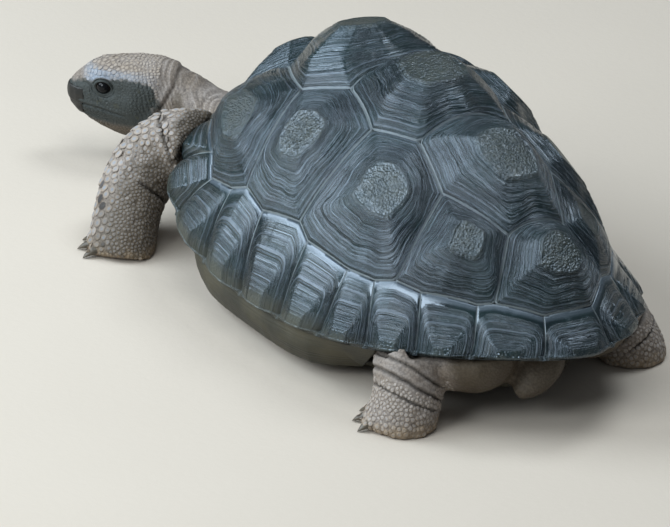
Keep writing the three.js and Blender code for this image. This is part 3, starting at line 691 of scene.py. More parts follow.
def makeMarginal(name, top, fromAngle, toAngle, seed, rise, dusty):
    m = marginals
    count = m["stations"]
    face = m["outside"] - m["lipRows"]
    piece, column, station = sleeve(name, m["outside"] + m["inside"], count - 1)
    topLine = linePoints(top, count)
    angles = np.radians(np.linspace(fromAngle, toAngle, count))
    rimLine = np.stack([np.sin(angles), -np.cos(angles)], -1)
    across = station / (count - 1)
    down = np.clip(column / face, 0, 1)
    pq = topLine[station] + (rimLine[station] - topLine[station]) * down[:, None]
    base, normal = onDome(pq), normalAt(pq)
    wobble = layeredNoise(base * 0.13, seed, 2)
    toEnds = [onDome(topLine[end] + (rimLine[end] - topLine[end]) * down[:, None]) - base for end in (0, -1)]
    sideWay = np.minimum(*(np.linalg.norm(way, axis=1) for way in toEnds))
    topBase, rimBase = onDome(topLine[station]), onDome(rimLine[station])
    topWay = np.linalg.norm(topBase - base, axis=1)
    # Along the costals the plate keeps level for the width of a pale band.
    band = smoothstep(m["band"] * 1.3, m["band"] * 0.7, topWay)
    seamWay = np.minimum(sideWay + 0.08, topWay + 0.1)
    # The rings nest like arches round an areola low in the middle.
    fromMiddle = np.abs(across - 0.5) * 2
    side = np.clip((fromMiddle - m["share"]) / (1 - m["share"]), 0, 1)
    bandShare = m["band"] / np.maximum(np.linalg.norm(rimBase - topBase, axis=1), 1)
    upwards = np.clip((m["archFoot"] - down) / (m["archFoot"] - bandShare), 0, 1)
    out = np.clip((side ** m["arch"] + upwards ** m["arch"]) ** (1 / m["arch"]), 0, 1)
    ringAt = m["firstRing"] + (1 - m["firstRing"]) * out + 0.012 * wobble * np.sin(out * math.pi)
    ringAt = np.clip(ringAt, 0, 1)
    lowEnd = 1 - smoothstep(0.93, 1.0, column / face)
    fade = smoothstep(0, 0.05, out) * (1 - smoothstep(0.96, 1.0, out)) * lowEnd
    strength = 0.75 + 0.5 * layeredNoise(base * 0.06 + 3, seed + 8, 2)
    height = lerp(-m["sink"], rise, (1 - out) ** 0.8) + ringRelief(ringAt) * fade * strength
    # Beside the side seams the plate sags into a hollow that narrows upwards.
    height -= 0.8 * bell(sideWay, 0.9 + 1.3 * down) * smoothstep(0.15, 0.6, down)
    height += 0.25 * layeredNoise(base * 0.16, seed + 4, 3) * fade
    height -= 0.3 * np.exp(-np.minimum(sideWay, topWay) / 0.5) * lowEnd
    height += 0.1 * layeredNoise(base * 1.7, seed + 6, 2) * (1 - smoothstep(0.02, 0.1, out))
    outward = unit(normal * [1, 1, 0])
    points = base + normal * height[:, None]
    # Round the lip, then flat under it, then up along the inner face.
    turn = np.clip((column - face) / m["lipRows"], 0, 1) * (column < m["outside"])
    angle = turn * math.radians(m["lipTurn"])
    scallop = 1 - fromMiddle**2
    rolled = base + outward * ((height + 0.6) * np.cos(angle) + 0.5 * scallop)[:, None]
    rolled[:, 2] -= m["lip"] * (0.85 + 0.3 * scallop) * (1 - np.cos(angle)) / 2
    blend = smoothstep(0, 0.35, turn)[:, None]
    points = points * (1 - blend) + rolled * blend
    innerShare = np.clip((column - m["outside"]) / (m["inside"] - 1), 0, 1)
    innerPart = column >= m["outside"]
    flat = unit(normalAt(rimLine[station]) * [1, 1, 0])
    underEdge = rimBase - flat * m["turnedIn"] - [0, 0, m["underDrop"]]
    backUp = np.clip(innerShare * 1.3 - 0.3, 0, 1)[:, None]
    inPq = rimLine[station] + (topLine[station] - rimLine[station]) * backUp
    inner = onDome(inPq) - normalAt(inPq) * m["wall"]
    first = rimBase - flat * 1.2 - [0, 0, m["lip"] + 0.2]
    underside = first + (underEdge - first) * (innerShare / 0.3)[:, None]
    inner = np.where(innerShare[:, None] < 0.3, underside, inner)
    points = np.where(innerPart[:, None], inner, points)
    # Half the seam's gap at each end.
    ends = np.where(station == 0, 1, 0) + np.where(station == count - 1, -1, 0)
    nextStation = np.clip(station + ends, 0, count - 1)
    pqNext = topLine[nextStation] + (rimLine[nextStation] - topLine[nextStation]) * down[:, None]
    points += unit(onDome(pqNext) - base) * (m["seamGap"] * (ends != 0))[:, None]
    place(piece, toMetres(points))
    low = np.where(innerPart, 0, 1 - smoothstep(0.0, 0.3, out + 0.12 * wobble))
    low = low * (1 - smoothstep(0.3, 0.8, turn))
    mark(
        piece,
        ring=np.where(innerPart, 0.5, ringAt),
        areola=low * (0.65 - 0.4 * dusty),
        dusty=np.where(innerPart, 0.9, dusty * smoothstep(0.35, 1.0, down)),
        edge=np.where(innerPart, 3, np.minimum(seamWay + 0.25 * turn, 6)),
        band=np.where(innerPart, 0, band),
    )
    capSleeve(piece)
    finishPiece(piece, shellHorn, "carapace", name)


for word, side in sides:
    ends = rimAngles[word]
    for i, names in enumerate(marginals["tops"]):
        top = [corner(n, side) for n in names]
        start, end = ends[i] * side, ends[i + 1] * side
        seed, dusty = 51 + i * 2 + side, marginals["dusty"][i]
        makeMarginal(f"marginal_{word}_{i + 1}", top, start, end, seed, marginals["rise"], dusty)
top = [corner("nuchalV1", side) for side in (-1, 1)]
makeMarginal("nuchal", top, -rimAngles["right"][0], rimAngles["left"][0], 90, marginals["rise"] * 0.5, 0.3)
top = [corner("m11V5", side) for side in (1, -1)]
start, end = rimAngles["left"][-1], 360 - rimAngles["right"][-1]
makeMarginal("supracaudal", top, start, end, 92, marginals["rise"], 0.3)
print("marginals laid")

# ---- the soft body: every flesh node grown together into one skin

head = {"snout": (45.9, -196.2, 27.6), "turn": 44.0, "nod": 4.0, "eye": (16.6, 6.6, 4.7), "eyeRadius": 4.1}
turn, nod = math.radians(head["turn"]), math.radians(head["nod"])
forward = np.array([math.sin(turn) * math.cos(nod), -math.cos(turn) * math.cos(nod), -math.sin(nod)])
leftward = np.array([math.cos(turn), math.sin(turn), 0])
upward = np.array([-forward[2] * math.sin(turn), forward[2] * math.cos(turn), math.cos(nod)])
snout = np.array(head["snout"]) + shellMiddle


# Millimetres behind, left of and above the snout's tip.
def toHead(points):
    away = points - snout
    return np.stack([-away @ forward, away @ leftward, away @ upward], -1)


def fromHead(local):
    local = np.asarray(local, dtype=float)
    return snout - local[..., 0:1] * forward + local[..., 1:2] * leftward + local[..., 2:3] * upward


# Centre lines of the legs, neck and tail, as in the solids.
neck = np.array([
    (21.5, -171, 26.5), (13.5, -161.5, 26.8), (6, -148, 27.6), (2, -130, 29.5), (0, -108, 34.5), (0, -88, 37)
])
foreleg = np.array([
    (30, -80, 40), (39, -99, 38.5), (46.5, -114.5, 34.5), (57, -118.5, 25), (68, -111.5, 13.5),
    (74.5, -104, 3.5), (76.5, -101.5, -3),
])
hindleg = np.array([(28, 52, 34), (40, 60, 30), (50, 66, 22.5), (54, 71.5, 13), (58, 75, 4), (60, 75.5, -3)])
limbs = {
    "neck": neck,
    "foreLeft": foreleg,
    "foreRight": foreleg * [-1, 1, 1] + [0, 9, 0],
    "hindLeft": hindleg,
    "hindRight": (hindleg - [4, 0, 0]) * [-1, 1, 1] + [0, -11, 0],
    "tail": np.array([(0, 70, 28), (2, 82, 25), (6, 90, 20), (12, 92.5, 14.5), (17.5, 90.5, 11)]),
}
limbs = {name: path + shellMiddle for name, path in limbs.items()}


# How far along a path each point is, in millimetres from its start, and how far away from it.
def along(points, path):
    best = np.full(len(points), 1e9)
    where = np.zeros(len(points))
    start = 0.0
    for a, b in zip(path[:-1], path[1:]):
        way = b - a
        length = np.linalg.norm(way)
        t = np.clip(((points - a) @ way) / length**2, 0, 1)
        gap = np.linalg.norm(points - a - t[:, None] * way, axis=1)
        nearer = gap < best
        best = np.where(nearer, gap, best)
        where = np.where(nearer, start + t * length, where)
        start += length
    return where, best


def selectVertices(piece, chosen):
    deselectAll()
    activate(piece)
    bpy.ops.object.mode_set(mode="EDIT")
    bpy.ops.mesh.select_mode(type="VERT")
    bpy.ops.mesh.select_all(action="DESELECT")
    bpy.ops.object.mode_set(mode="OBJECT")
    piece.data.vertices.foreach_set("select", chosen)
    bpy.ops.object.mode_set(mode="EDIT")


def refine(piece, chosen, smooth=2):
    selectVertices(piece, chosen)
    bpy.ops.mesh.subdivide(number_cuts=1)
    bpy.ops.mesh.vertices_smooth(factor=0.5, repeat=smooth)
    bpy.ops.object.mode_set(mode="OBJECT")


# Copies of CAD nodes, merged and grown a little, become one closed mesh.
def grownCopy(name, nodes, grow, voxel, smooth):
    deselectAll()
    for node in nodes:
        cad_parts[node].select_set(True)
    bpy.context.view_layer.objects.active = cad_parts[nodes[0]]
    bpy.ops.object.duplicate()
    copies = list(bpy.context.selected_objects)
    for copy in copies:
        copy.parent = None
        copy.data = copy.data.copy()
        for key in list(copy.keys()):
            del copy[key]
    bpy.context.view_layer.objects.active = copies[0]
    if len(copies) > 1:
        bpy.ops.object.join()
    piece = bpy.context.object
    piece.name = name
    piece.data.name = name
    piece.data.materials.clear()
    weld()
    bpy.ops.transform.shrink_fatten(value=grow)
    bpy.ops.object.mode_set(mode="OBJECT")
    applyModifier(piece, "REMESH", mode="VOXEL", voxel_size=voxel)
    applyModifier(piece, "SMOOTH", factor=0.5, iterations=smooth)
    return piece


flesh = ["trunk", "neck", "head", "tail", "foreleg_left", "foreleg_right", "hindleg_left", "hindleg_right"]
skinSettings = {"grow": 0.00035, "voxel": 0.0016, "smooth": 6}
skin = grownCopy("skin", [*flesh, "beak_upper", "beak_lower", "eye_left", "eye_right"], **skinSettings)
print("skin grown", len(skin.data.vertices))


def inHead(points):
    local = toHead(points)
    return (local[:, 0] < 47) & (np.abs(local[:, 1]) < 18) & (np.abs(local[:, 2]) < 21)


points = coordinates(skin) / mm
limbPart = np.zeros(len(points), dtype=bool)
# How far along each limb the finer mesh starts, and how far it reaches from the limb's middle.
finer = {
    "neck": (0, 22),
    "foreLeft": (22, 22),
    "foreRight": (22, 22),
    "hindLeft": (16, 24),
    "hindRight": (16, 24),
    "tail": (5, 12),
}
for name, (start, reach) in finer.items():
    where, away = along(points, limbs[name])
    limbPart |= (where > start) & (away < reach) & (points[:, 2] < 54)
limbPart &= ~((np.abs(points[:, 0]) < 45) & (np.abs(points[:, 1] - shellMiddle[1]) < 66))
refine(skin, limbPart | inHead(points), 3)
refine(skin, inHead(coordinates(skin) / mm), 3)
points = coordinates(skin) / mm
headLocal = toHead(points)
eyeSpot = np.array(head["eye"])
eyePart = np.zeros(len(points), dtype=bool)
for side in (1, -1):
    away = headLocal - eyeSpot * [1, side, 1]
    eyePart |= (np.hypot(away[:, 0], away[:, 2]) < 6.5) & (headLocal[:, 1] * side > 3)
refine(skin, eyePart, 2)
print("skin refined", len(skin.data.vertices))


points = coordinates(skin) / mm
local = toHead(points)
side = np.where(local[:, 1] >= 0, 1.0, -1.0)
mirror = np.stack([np.ones_like(side), side, np.ones_like(side)], -1)
folded = local * mirror
onHead = smoothstep(54, 48, local[:, 0]) * (np.abs(local[:, 1]) < 20) * (np.abs(local[:, 2]) < 24)
# Back, out and up of each brush's centre, its radii, and how it pushes the points that it covers.
brushes = [
    ((15, 8.0, 11.0), (7, 3.5, 2.6), (0, 1.0, 0.8)),
    ((7, 6.5, 6.5), (4, 3, 3), (0, -0.7, -0.5)),
    ((16, 11, 5), (6.5, 4, 5.0), (0, -1.1, 0)),
    ((29, 13, -3), (6, 4, 5.5), (0, 0.8, 0)),
    ((25, 12, 4), (3.5, 3, 3), (0, -0.6, 0)),
    ((36, 12, -9), (6, 5, 4), (0, 0.9, -0.6)),
    ((14, 7, -9), (8, 4, 3), (0, -0.6, 0.8)),
    ((25, 5, -16), (8, 6, 4), (0, 0, -1.8)),
    ((12, 0, 13), (6, 7, 5), (0, 0, 0.7)),
    ((40, 0, 12), (4, 9, 6), (0, 0, 0.9)),
    ((45.5, 0, 9), (3.2, 10, 8), (0, 0, 2.8)),
]
moved = np.zeros_like(local)
for centre, radii, push in brushes:
    away = (folded - centre) / radii
    moved += np.exp(-(away**2).sum(1))[:, None] * push
local += moved * mirror * onHead[:, None]


# Height over the mouth, which is one long line from the beak to under the ear.
def overMouth(back, up):
    return up + 3.4 + 0.06 * back + 0.9 * smoothstep(15, 25, back)


mouthAway = overMouth(local[:, 0], local[:, 2])
mouthDepth = 0.9 * bell(mouthAway, 0.5) * smoothstep(1, 4, local[:, 0]) * smoothstep(29, 23, local[:, 0])
lipRise = 0.35 * bell(mouthAway - 1.3, 0.8) * smoothstep(29, 22, local[:, 0])
outwards = np.stack([np.zeros_like(side), side, np.zeros_like(side)], -1)
local += outwards * ((lipRise - mouthDepth) * onHead * smoothstep(1.5, 4, np.abs(local[:, 1])))[:, None]


# Eye sockets: the skin dives behind the ball inside the opening, hugs it as two lids, and folds
# in rings outside them.
eyes = {"length": 3.15, "height": 2.65, "lid": 0.35, "foldStep": 0.30, "foldDepth": 0.13, "tilt": -8.0}
eyeTilt = math.radians(eyes["tilt"])
eyeRing = np.full(len(points), 9.0)
for sign in (1, -1):
    centre = eyeSpot * [1, sign, 1]
    away = local - centre
    a = away[:, 0] * math.cos(eyeTilt) + away[:, 2] * math.sin(eyeTilt)
    b = away[:, 2] * math.cos(eyeTilt) - away[:, 0] * math.sin(eyeTilt)
    height = np.where(b > 0, eyes["height"], eyes["height"] * 0.9)
    ring = np.hypot(a / eyes["length"], b / height)
    near = (local[:, 1] * sign > 2.5) & (np.hypot(a, b) < 9)
    eyeRing = np.where(near, ring, eyeRing)
    # The lids rise to a margin that hugs the ball, and fall away from it to the cheek and brow.
    margin = np.minimum(np.hypot(a, b) / np.maximum(ring, 0.05), eyes["length"])
    lidOut = eyeSpot[1] + np.sqrt(head["eyeRadius"] ** 2 - margin**2) + eyes["lid"]
    skinOut = local[:, 1] * sign
    fold = np.cos((ring - 1.2) * 2 * math.pi / eyes["foldStep"]) * smoothstep(1.05, 1.3, ring)
    fold = fold * eyes["foldDepth"] * smoothstep(2.3, 1.5, ring)
    upper = 0.55 * bell(ring - 1.42, 0.13) * smoothstep(-0.5, 1.0, b)
    lower = 0.40 * bell(ring - 1.62, 0.14) * smoothstep(0.5, -1.0, b)
    target = lerp(lidOut, skinOut, smoothstep(1.05, 2.0, ring)) + fold - upper - lower
    inside = smoothstep(1.02, 0.9, ring)
    target = target * (1 - inside) + (eyeSpot[1] + 0.5) * inside
    # The upper lid overhangs, so the brow shades the ball.
    target += 0.35 * bell(ring - 1.14, 0.14) * smoothstep(-0.3, 1.2, b) * (1 - inside)
    local[:, 1] = np.where(near, target * sign, local[:, 1])
points = np.where((onHead > 0)[:, None], fromHead(local), points)
place(skin, points * mm)

# Folds and wrinkles are pressed in along the surface's normals.
points = coordinates(skin) / mm
facing = normals(skin)
back, aside, up = toHead(points).T
neckWhere, neckAway = along(points, limbs["neck"])
# The neck's back falls towards the shell.
fall = np.interp(neckWhere, [13, 17, 20, 26, 31, 44, 62], [0, 0.6, 1.8, 4.2, 5.6, 5.6, 0]) * (neckAway < 24)
pathHeight = np.interp(neckWhere, [0, 12.4, 27.9, 46.4, 69.1], limbs["neck"][:5, 2])
fall *= np.clip((points[:, 2] - pathHeight) / 13, 0, 1.2) * smoothstep(46, 50, back)
points[:, 2] -= fall
drift = layeredNoise(points * 0.12, 201, 2)


def ridges(value):
    wave = value - np.floor(value)
    return np.abs(wave * 2 - 1)


# Spacing of the folds in millimetres, and how deep they are.
folds = {"neck": 3.9, "neckDepth": 0.6, "neckFine": 1.5, "fineDepth": 0.14, "nape": 1.7, "napeDepth": 0.17,
         "body": 0.3, "loose": 0.35}
push = np.zeros(len(points))
# This mask marks the bottoms of the folds, which the skin material darkens with painted shade.
creaseShade = np.zeros(len(points))
lips = np.zeros(len(points))
# Neck: slack folds run slanting round it, and a deep one shuts off the back of the head.
onNeck = smoothstep(45, 49, back) * (neckAway < 22) * smoothstep(62, 48, neckWhere)
slant = neckWhere + 0.7 * (points[:, 2] - 28)
neckFold = ridges(slant / folds["neck"] + drift * 0.9)
patchy = 0.3 + 0.7 * smoothstep(-0.4, 0.4, layeredNoise(points * 0.09, 207, 2))
push += onNeck * (folds["neckDepth"] * smoothstep(0.05, 0.8, neckFold) - 0.35) * patchy
creaseShade = np.maximum(creaseShade, onNeck * patchy * 0.55 * smoothstep(0.25, 0.0, neckFold))
lips = np.maximum(lips, onNeck * patchy * smoothstep(0.80, 0.97, neckFold))
fineFold = ridges(slant / folds["neckFine"] + drift * 1.6)
push += onNeck * folds["fineDepth"] * (fineFold - 0.5)
napeAway = back - np.interp(up, [-14, -8, 0, 8, 16], [31, 37, 42.5, 46.5, 48]) - 0.6 * drift
atNape = (neckAway < 24) * smoothstep(-16, -9, up) * (np.abs(aside) < 20)
push -= 0.6 * bell(napeAway, 0.8) * atNape
push += 0.35 * bell(napeAway + 2.4, 1.4) * atNape
creaseShade = np.maximum(creaseShade, 0.55 * bell(napeAway, 0.8) * atNape)
lips = np.maximum(lips, 0.8 * bell(napeAway + 2.6, 1.2) * atNape * smoothstep(10, 4, up))
# Back of the head: rows of small upright wrinkles.
nape = smoothstep(26, 35, back) * smoothstep(52, 46, back) * smoothstep(-9, -2, up)
rows = ridges(back / folds["nape"] + drift * 1.3 + 0.16 * up)
push += nape * folds["napeDepth"] * (smoothstep(0.05, 0.6, rows) - 0.7)
creaseShade = np.maximum(creaseShade, nape * 0.35 * smoothstep(0.3, 0.0, rows))
lips = np.maximum(lips, nape * 0.6 * smoothstep(0.6, 0.95, rows))
# Deep creases on the left: centre, direction across the crease, reach, half width and depth.
hindCreases = [
    ((57.0, 72.0, 22.5), (0.62, 0.18, -0.76), 19, 0.55, 0.85),
    ((57.5, 74.0, 16.5), (0.58, 0.16, -0.80), 19, 0.60, 1.05),
    ((59.0, 75.5, 11.5), (0.50, 0.12, -0.85), 16, 0.50, 0.70),
]
foreCreases = [
    ((49.0, -114.0, 37.5), (0.80, -0.45, -0.40), 17, 0.7, 1.0),
    ((61.0, -106.0, 20.0), (0.65, 0.30, -0.70), 11, 0.8, 0.9),
]
creases = []
# The right legs stand a little nearer the middle line, or farther forward or back.
for leftOnes, moved in ((hindCreases, (4, -11, 0)), (foreCreases, (0, 9, 0))):
    for centre, across, *sizes in leftOnes:
        creases.append((np.array(centre), np.array(across), *sizes))
        creases.append((centre * np.array([-1, 1, 1]) + moved, across * np.array([-1, 1, 1]), *sizes))
for centre, across, reach, width, depth in creases:
    across = across / np.linalg.norm(across)
    away = points - (centre + shellMiddle)
    flat = away @ across + 0.9 * noise(points * 0.10, 77) + 0.25 * noise(points * 0.4, 78)
    near = smoothstep(reach, reach * 0.75, np.linalg.norm(away, axis=1))
    for sign in (1, -1):
        lip = bell(flat - sign * width * 2.2, width * 1.6)
        push += near * (0.35 if sign < 0 else 0.12) * depth * lip
        lips = np.maximum(lips, near * lip * 0.45)
    push -= near * depth * bell(flat, width)
    creaseShade = np.maximum(creaseShade, near * bell(flat, width * 1.3))
# Everywhere the skin is a little loose.
push += folds["loose"] * layeredNoise(points * 0.09, 230, 3) * smoothstep(46, 52, back)
bodySkin = (neckAway > 20) & (np.abs(points[:, 0]) < 75)
wrinkle = ridges(points @ np.array([0.08, 0.22, 0.30]) + drift * 1.4)
push += np.where(bodySkin, folds["body"] * (smoothstep(0, 0.5, wrinkle) - 0.8), 0)
outOfSockets = smoothstep(1.3, 2.2, eyeRing)
points = points + facing * (push * outOfSockets)[:, None]
points[:, 2] = np.maximum(points[:, 2], 0.0)
place(skin, points * mm)
print("skin shaped")

hide = {
    "taupe": (0.215, 0.175, 0.140),
    "grey": (0.255, 0.222, 0.198),
    "blue": (0.235, 0.290, 0.365),
    "tan": (0.320, 0.265, 0.212),
    "pale": (0.400, 0.362, 0.335),
    "paintedShade": (0.022, 0.018, 0.015),
    "mask": (0.0280, 0.0360, 0.0350),
    "olive": (0.055, 0.052, 0.020),
    "brownAndShade": (0.050, 0.037, 0.020),
    "dust": (0.300, 0.225, 0.145),
    "speck": (0.030, 0.032, 0.038),
    "bold": (0.012, 0.017, 0.026),
    "broadScale": 90.0,
    "fineScale": 900.0,
    "cellScale": 1100.0,
    "speckScale": 620.0,
    "blotchScale": 260.0,
    "bumpDepth": 0.0004,
}


# Skin and scales share one recipe; on a scale, "crown" is 0 at its edge and 1 on top.
def hideMaterial(name, scaled):
    paint = Paint(name)
    where = paint.place()
    mask = paint.attribute("mask")
    broad = paint.grain(where, hide["broadScale"], 3.0)
    fine = paint.grain(where, hide["fineScale"], 3.0, 0.65)
    cells = paint.cells(where, hide["cellScale"])
    base = paint.mix(paint.ramp(broad, 0.3, 0.7), hide["taupe"], hide["grey"])
    # Darker between the pebbles: painted shade in the gaps.
    base = paint.mix(paint.ramp(cells, 0.25, 0.8) * 0.35, base, hide["paintedShade"])
    specks = paint.ramp(paint.grain(where, hide["speckScale"], 2.0, 0.6), 0.62, 0.70)
    base = paint.mix(specks * 0.45, base, hide["speck"])
    base = paint.mix(paint.attribute("lips") * 0.6, base, hide["pale"])
    # Painted pale-blue sheen of the sky on the plates over the brow.
    base = paint.mix(paint.attribute("top") * 0.75, base, hide["blue"])
    # Under the head, neck and shell the skin is painted dark brown: partly its own brown, partly painted
    # shade.
    base = paint.mix(paint.attribute("brownAndShade") * 0.85, base, hide["brownAndShade"])
    if scaled:
        crown = paint.attribute("crown")
        tone = paint.attribute("tone")
        scale = paint.mix(tone * 0.6, hide["tan"], hide["pale"])
        # A painted pale-blue highlight sits on each scale's top.
        centre = paint.ramp(crown + (fine - 0.5) * 0.10, 0.84, 1.0)
        scale = paint.mix(centre * (1 - tone * 0.5) * 0.85, scale, hide["blue"])
        scale = paint.mix(paint.attribute("bold"), scale, hide["bold"])
        # The same dark brown on scales: partly their own brown, partly painted shade.
        scale = paint.mix(paint.attribute("brownAndShade") * 0.75, scale, hide["brownAndShade"])
        # Over the brow the scales also get the painted pale-blue sheen.
        scale = paint.mix(paint.attribute("top") * 0.6, scale, hide["blue"])
        base = paint.mix(paint.ramp(crown + (fine - 0.5) * 0.3, 0.1, 0.6) * 0.8, base, scale)
    blotches = paint.ramp(paint.grain(where, hide["blotchScale"], 3.0, 0.7), 0.6, 0.78)
    base = paint.mix(mask * 0.95, base, paint.mix(blotches * 0.7, hide["mask"], hide["olive"]))
    # Painted shade darkens the creases.
    base = paint.mix(paint.attribute("creaseShade") * 0.85, base, hide["paintedShade"])
    dust = paint.ramp(paint.attribute("dust") + (fine - 0.5) * 0.9, 0.45, 0.95)
    base = paint.mix(dust * 0.8, base, hide["dust"])
    rough = 0.50 + fine * 0.2 - paint.attribute("top") * 0.1 + dust * 0.2
    pebbles = paint.bump(cells, 0.4, hide["bumpDepth"])
    surface = paint.bump(fine, 0.25, hide["bumpDepth"], pebbles)
    return paint.finish(
        {"Base Color": base, "Roughness": rough, "Normal": surface, "Specular IOR Level": 0.26}
    )


points = coordinates(skin) / mm
back, aside, up = toHead(points).T
headShare = smoothstep(51, 46, back) * (np.abs(aside) < 20)
speckle = layeredNoise(points * 0.35, 300, 3)
blotch = layeredNoise(points * 0.9, 310, 3)
# The dark face runs from the beak through the eye to behind the jaw's corner.
browLine = np.interp(back, [0, 6, 12, 17, 22, 27, 33, 38, 42],
                     [4.0, 5.8, 7.0, 8.0, 9.0, 9.4, 9.6, 7.0, 0.5])
faceLow = smoothstep(0.9, -0.9, up - browLine + speckle * 0.9 + blotch * 0.9)
faceBack = smoothstep(44, 38, back + speckle * 3.0 + blotch * 2.5)
mask = headShare * faceLow * faceBack * smoothstep(-13.0, -9.5, up + 0.5 * blotch)
mask = np.maximum(mask, headShare * smoothstep(1.75, 1.5, eyeRing))
# Over the brow the plates get a painted pale-blue sheen of the sky, and the crown is taupe.
top = headShare * (1 - mask) * smoothstep(13.2, 10.6, up + 0.6 * blotch)
top = top * smoothstep(44, 26, back)
top = top * smoothstep(-1, 4, up) * smoothstep(5, 12, back + blotch)
top = top * (0.7 + 0.3 * smoothstep(24, 16, back))
# The throat and the hollow under the neck are painted dark brown, partly their own brown and partly painted
# shade.
throat = headShare * smoothstep(-8.5, -12.5, up)
hollowTop = np.interp(neckWhere, [5, 17, 26], [37, 35, 25])
hollow = smoothstep(3, -3, points[:, 2] - hollowTop + 2 * speckle)
hollow = hollow * smoothstep(43, 49, back) * (neckAway < 24)
# The forelegs' fronts are pale; behind and below they turn brown.
facing = normals(skin)
legFront = np.zeros(len(points))
legBack = np.zeros(len(points))
for word, side in (("Left", 1), ("Right", -1)):
    where, away = along(points, limbs["fore" + word])
    front = facing @ np.array([0.45 * side, -0.85, 0.25])
    onLeg = (where > 15) & (away < 22)
    legFront = np.where(onLeg, smoothstep(-0.25, 0.75, front), legFront)
    low = smoothstep(34, 12, points[:, 2])
    legBack = np.where(onLeg, smoothstep(0.5, -0.5, front - 0.6 * low + 0.4 * speckle) * 0.8, legBack)
# Under the shell the skin is painted dark brown, partly its own brown and partly painted shade, and so is the
# tail.
onLimb = (neckAway < 24) * smoothstep(70, 58, neckWhere)
for name, start in (("foreLeft", 22), ("foreRight", 22), ("hindLeft", 24), ("hindRight", 24)):
    where, away = along(points, limbs[name])
    onLeg = smoothstep(start - 7, start + 7, where + 3 * speckle) * smoothstep(22, 15, away)
    onLimb = np.maximum(onLimb, onLeg)
inner = (1 - headShare) * (1 - onLimb)
fields = {
    "mask": mask,
    "top": top,
    "creaseShade": creaseShade,
    "lips": lips,
    "brownAndShade": np.clip(throat * 0.9 + hollow * 0.8 + inner * 0.9 + legBack, 0, 1),
    "dust": smoothstep(12, 1, points[:, 2] + speckle * 4) * 0.75,
}
mark(skin, **fields)
activate(skin)
bpy.ops.object.shade_smooth()
finishPiece(skin, hideMaterial("skinHide", False), "skin", *flesh)
print("skin painted")

# ---- scales: domed plates whose outlines meet halfway to their neighbours

scaleSides = 9
scaleMaterial = hideMaterial("scaleHide", True)


# Lays scales of about the given widths on the chosen part of the skin.
def laySkinScales(name, chosen, width, height, tilt, seed, spot=1.0):
    random = np.random.RandomState(seed)
    order = random.permutation(np.flatnonzero(chosen))
    kept = np.empty(len(order), dtype=int)
    spots = np.empty((len(order), 3))
    reach = np.empty(len(order))
    count = 0
    for i in order:
        away = ((spots[:count] - points[i]) ** 2).sum(1)
        if not count or (away > ((reach[:count] + width[i]) * 0.44) ** 2).all():
            kept[count], spots[count], reach[count] = i, points[i], width[i]
            count += 1
    kept, spots, reach = kept[:count], spots[:count], reach[:count]
    up = facing[kept]
    level = np.cross(up, [0.0, 0.0, 1.0] + 0.01 * up[:, [1, 2, 0]])
    level /= np.linalg.norm(level, axis=1, keepdims=True)
    slope = np.cross(up, level)
    angles = np.arange(scaleSides) / scaleSides * 2 * math.pi
    ways = level[:, None] * np.cos(angles)[None, :, None] + slope[:, None] * np.sin(angles)[None, :, None]
    edge = np.empty((count, scaleSides))
    for i in range(count):
        away = spots - spots[i]
        near = np.flatnonzero(((away**2).sum(1) < (reach[i] * 2.6) ** 2))
        near = near[near != i]
        reaches = ways[i] @ away[near].T
        halves = (away[near] ** 2).sum(1) / 2
        limits = np.where(reaches > 0.05, halves / np.maximum(reaches, 0.05), 9)
        edge[i] = np.minimum(limits.min(1) if len(near) else 9, reach[i] * 0.72)
    edge = edge * 0.6 + (np.roll(edge, 1, 1) + np.roll(edge, -1, 1)) * 0.2
    edge = np.maximum(edge * 0.94 - 0.06, 0.2)
    # One closed button, repeated once for each scale and then laid out.
    button, column, loop = sleeve(name, scaleSides, 3, "TRIFAN")
    button.name = name
    flat = coordinates(button)
    centreOf = np.hypot(flat[:, 0], flat[:, 1]) < 0.2
    applyModifier(button, "ARRAY", count=count)
    # Loop 0 is the top ring and 3 the sunken rim.
    share = np.where(centreOf, 0, np.array([0.45, 0.8, 0.98, 0.9])[loop])
    rise = np.where(centreOf & (loop == 0), 1.0, np.array([0.93, 0.6, 0.02, -0.2])[loop])
    sunk = np.where(loop == 3, -0.35, 0.0) + np.where(loop == 2, -0.04, 0.0)
    radius = edge[:, column] * share[None]
    lift = rise[None] * height[kept][:, None] + sunk[None]
    lift = lift + (radius * np.sin(angles[column])[None]) * (tilt * (loop < 3))[None]
    laid = spots[:, None] + ways[:, column] * radius[..., None] + up[:, None] * lift[..., None]
    laid = laid.reshape(-1, 3)
    laid[:, 2] = np.maximum(laid[:, 2], 0.02)
    place(button, laid * mm)
    mark(button, **{field: np.repeat(values[kept], len(flat)) for field, values in fields.items()})
    tone = random.uniform(0, spot, count)
    # A few large ones, low on the leg, are nearly black.
    bold = random.uniform(0, 1, count) < 0.07
    bold = bold * smoothstep(2.4, 2.8, reach) * smoothstep(30, 20, spots[:, 2])
    crown = np.tile(np.clip(rise * spot, 0, 1), count)
    mark(button, crown=crown, tone=np.repeat(tone, len(flat)), bold=np.repeat(bold, len(flat)))
    closeSleeve(button)
    finishPiece(button, scaleMaterial, "skin")
    print(name, count)


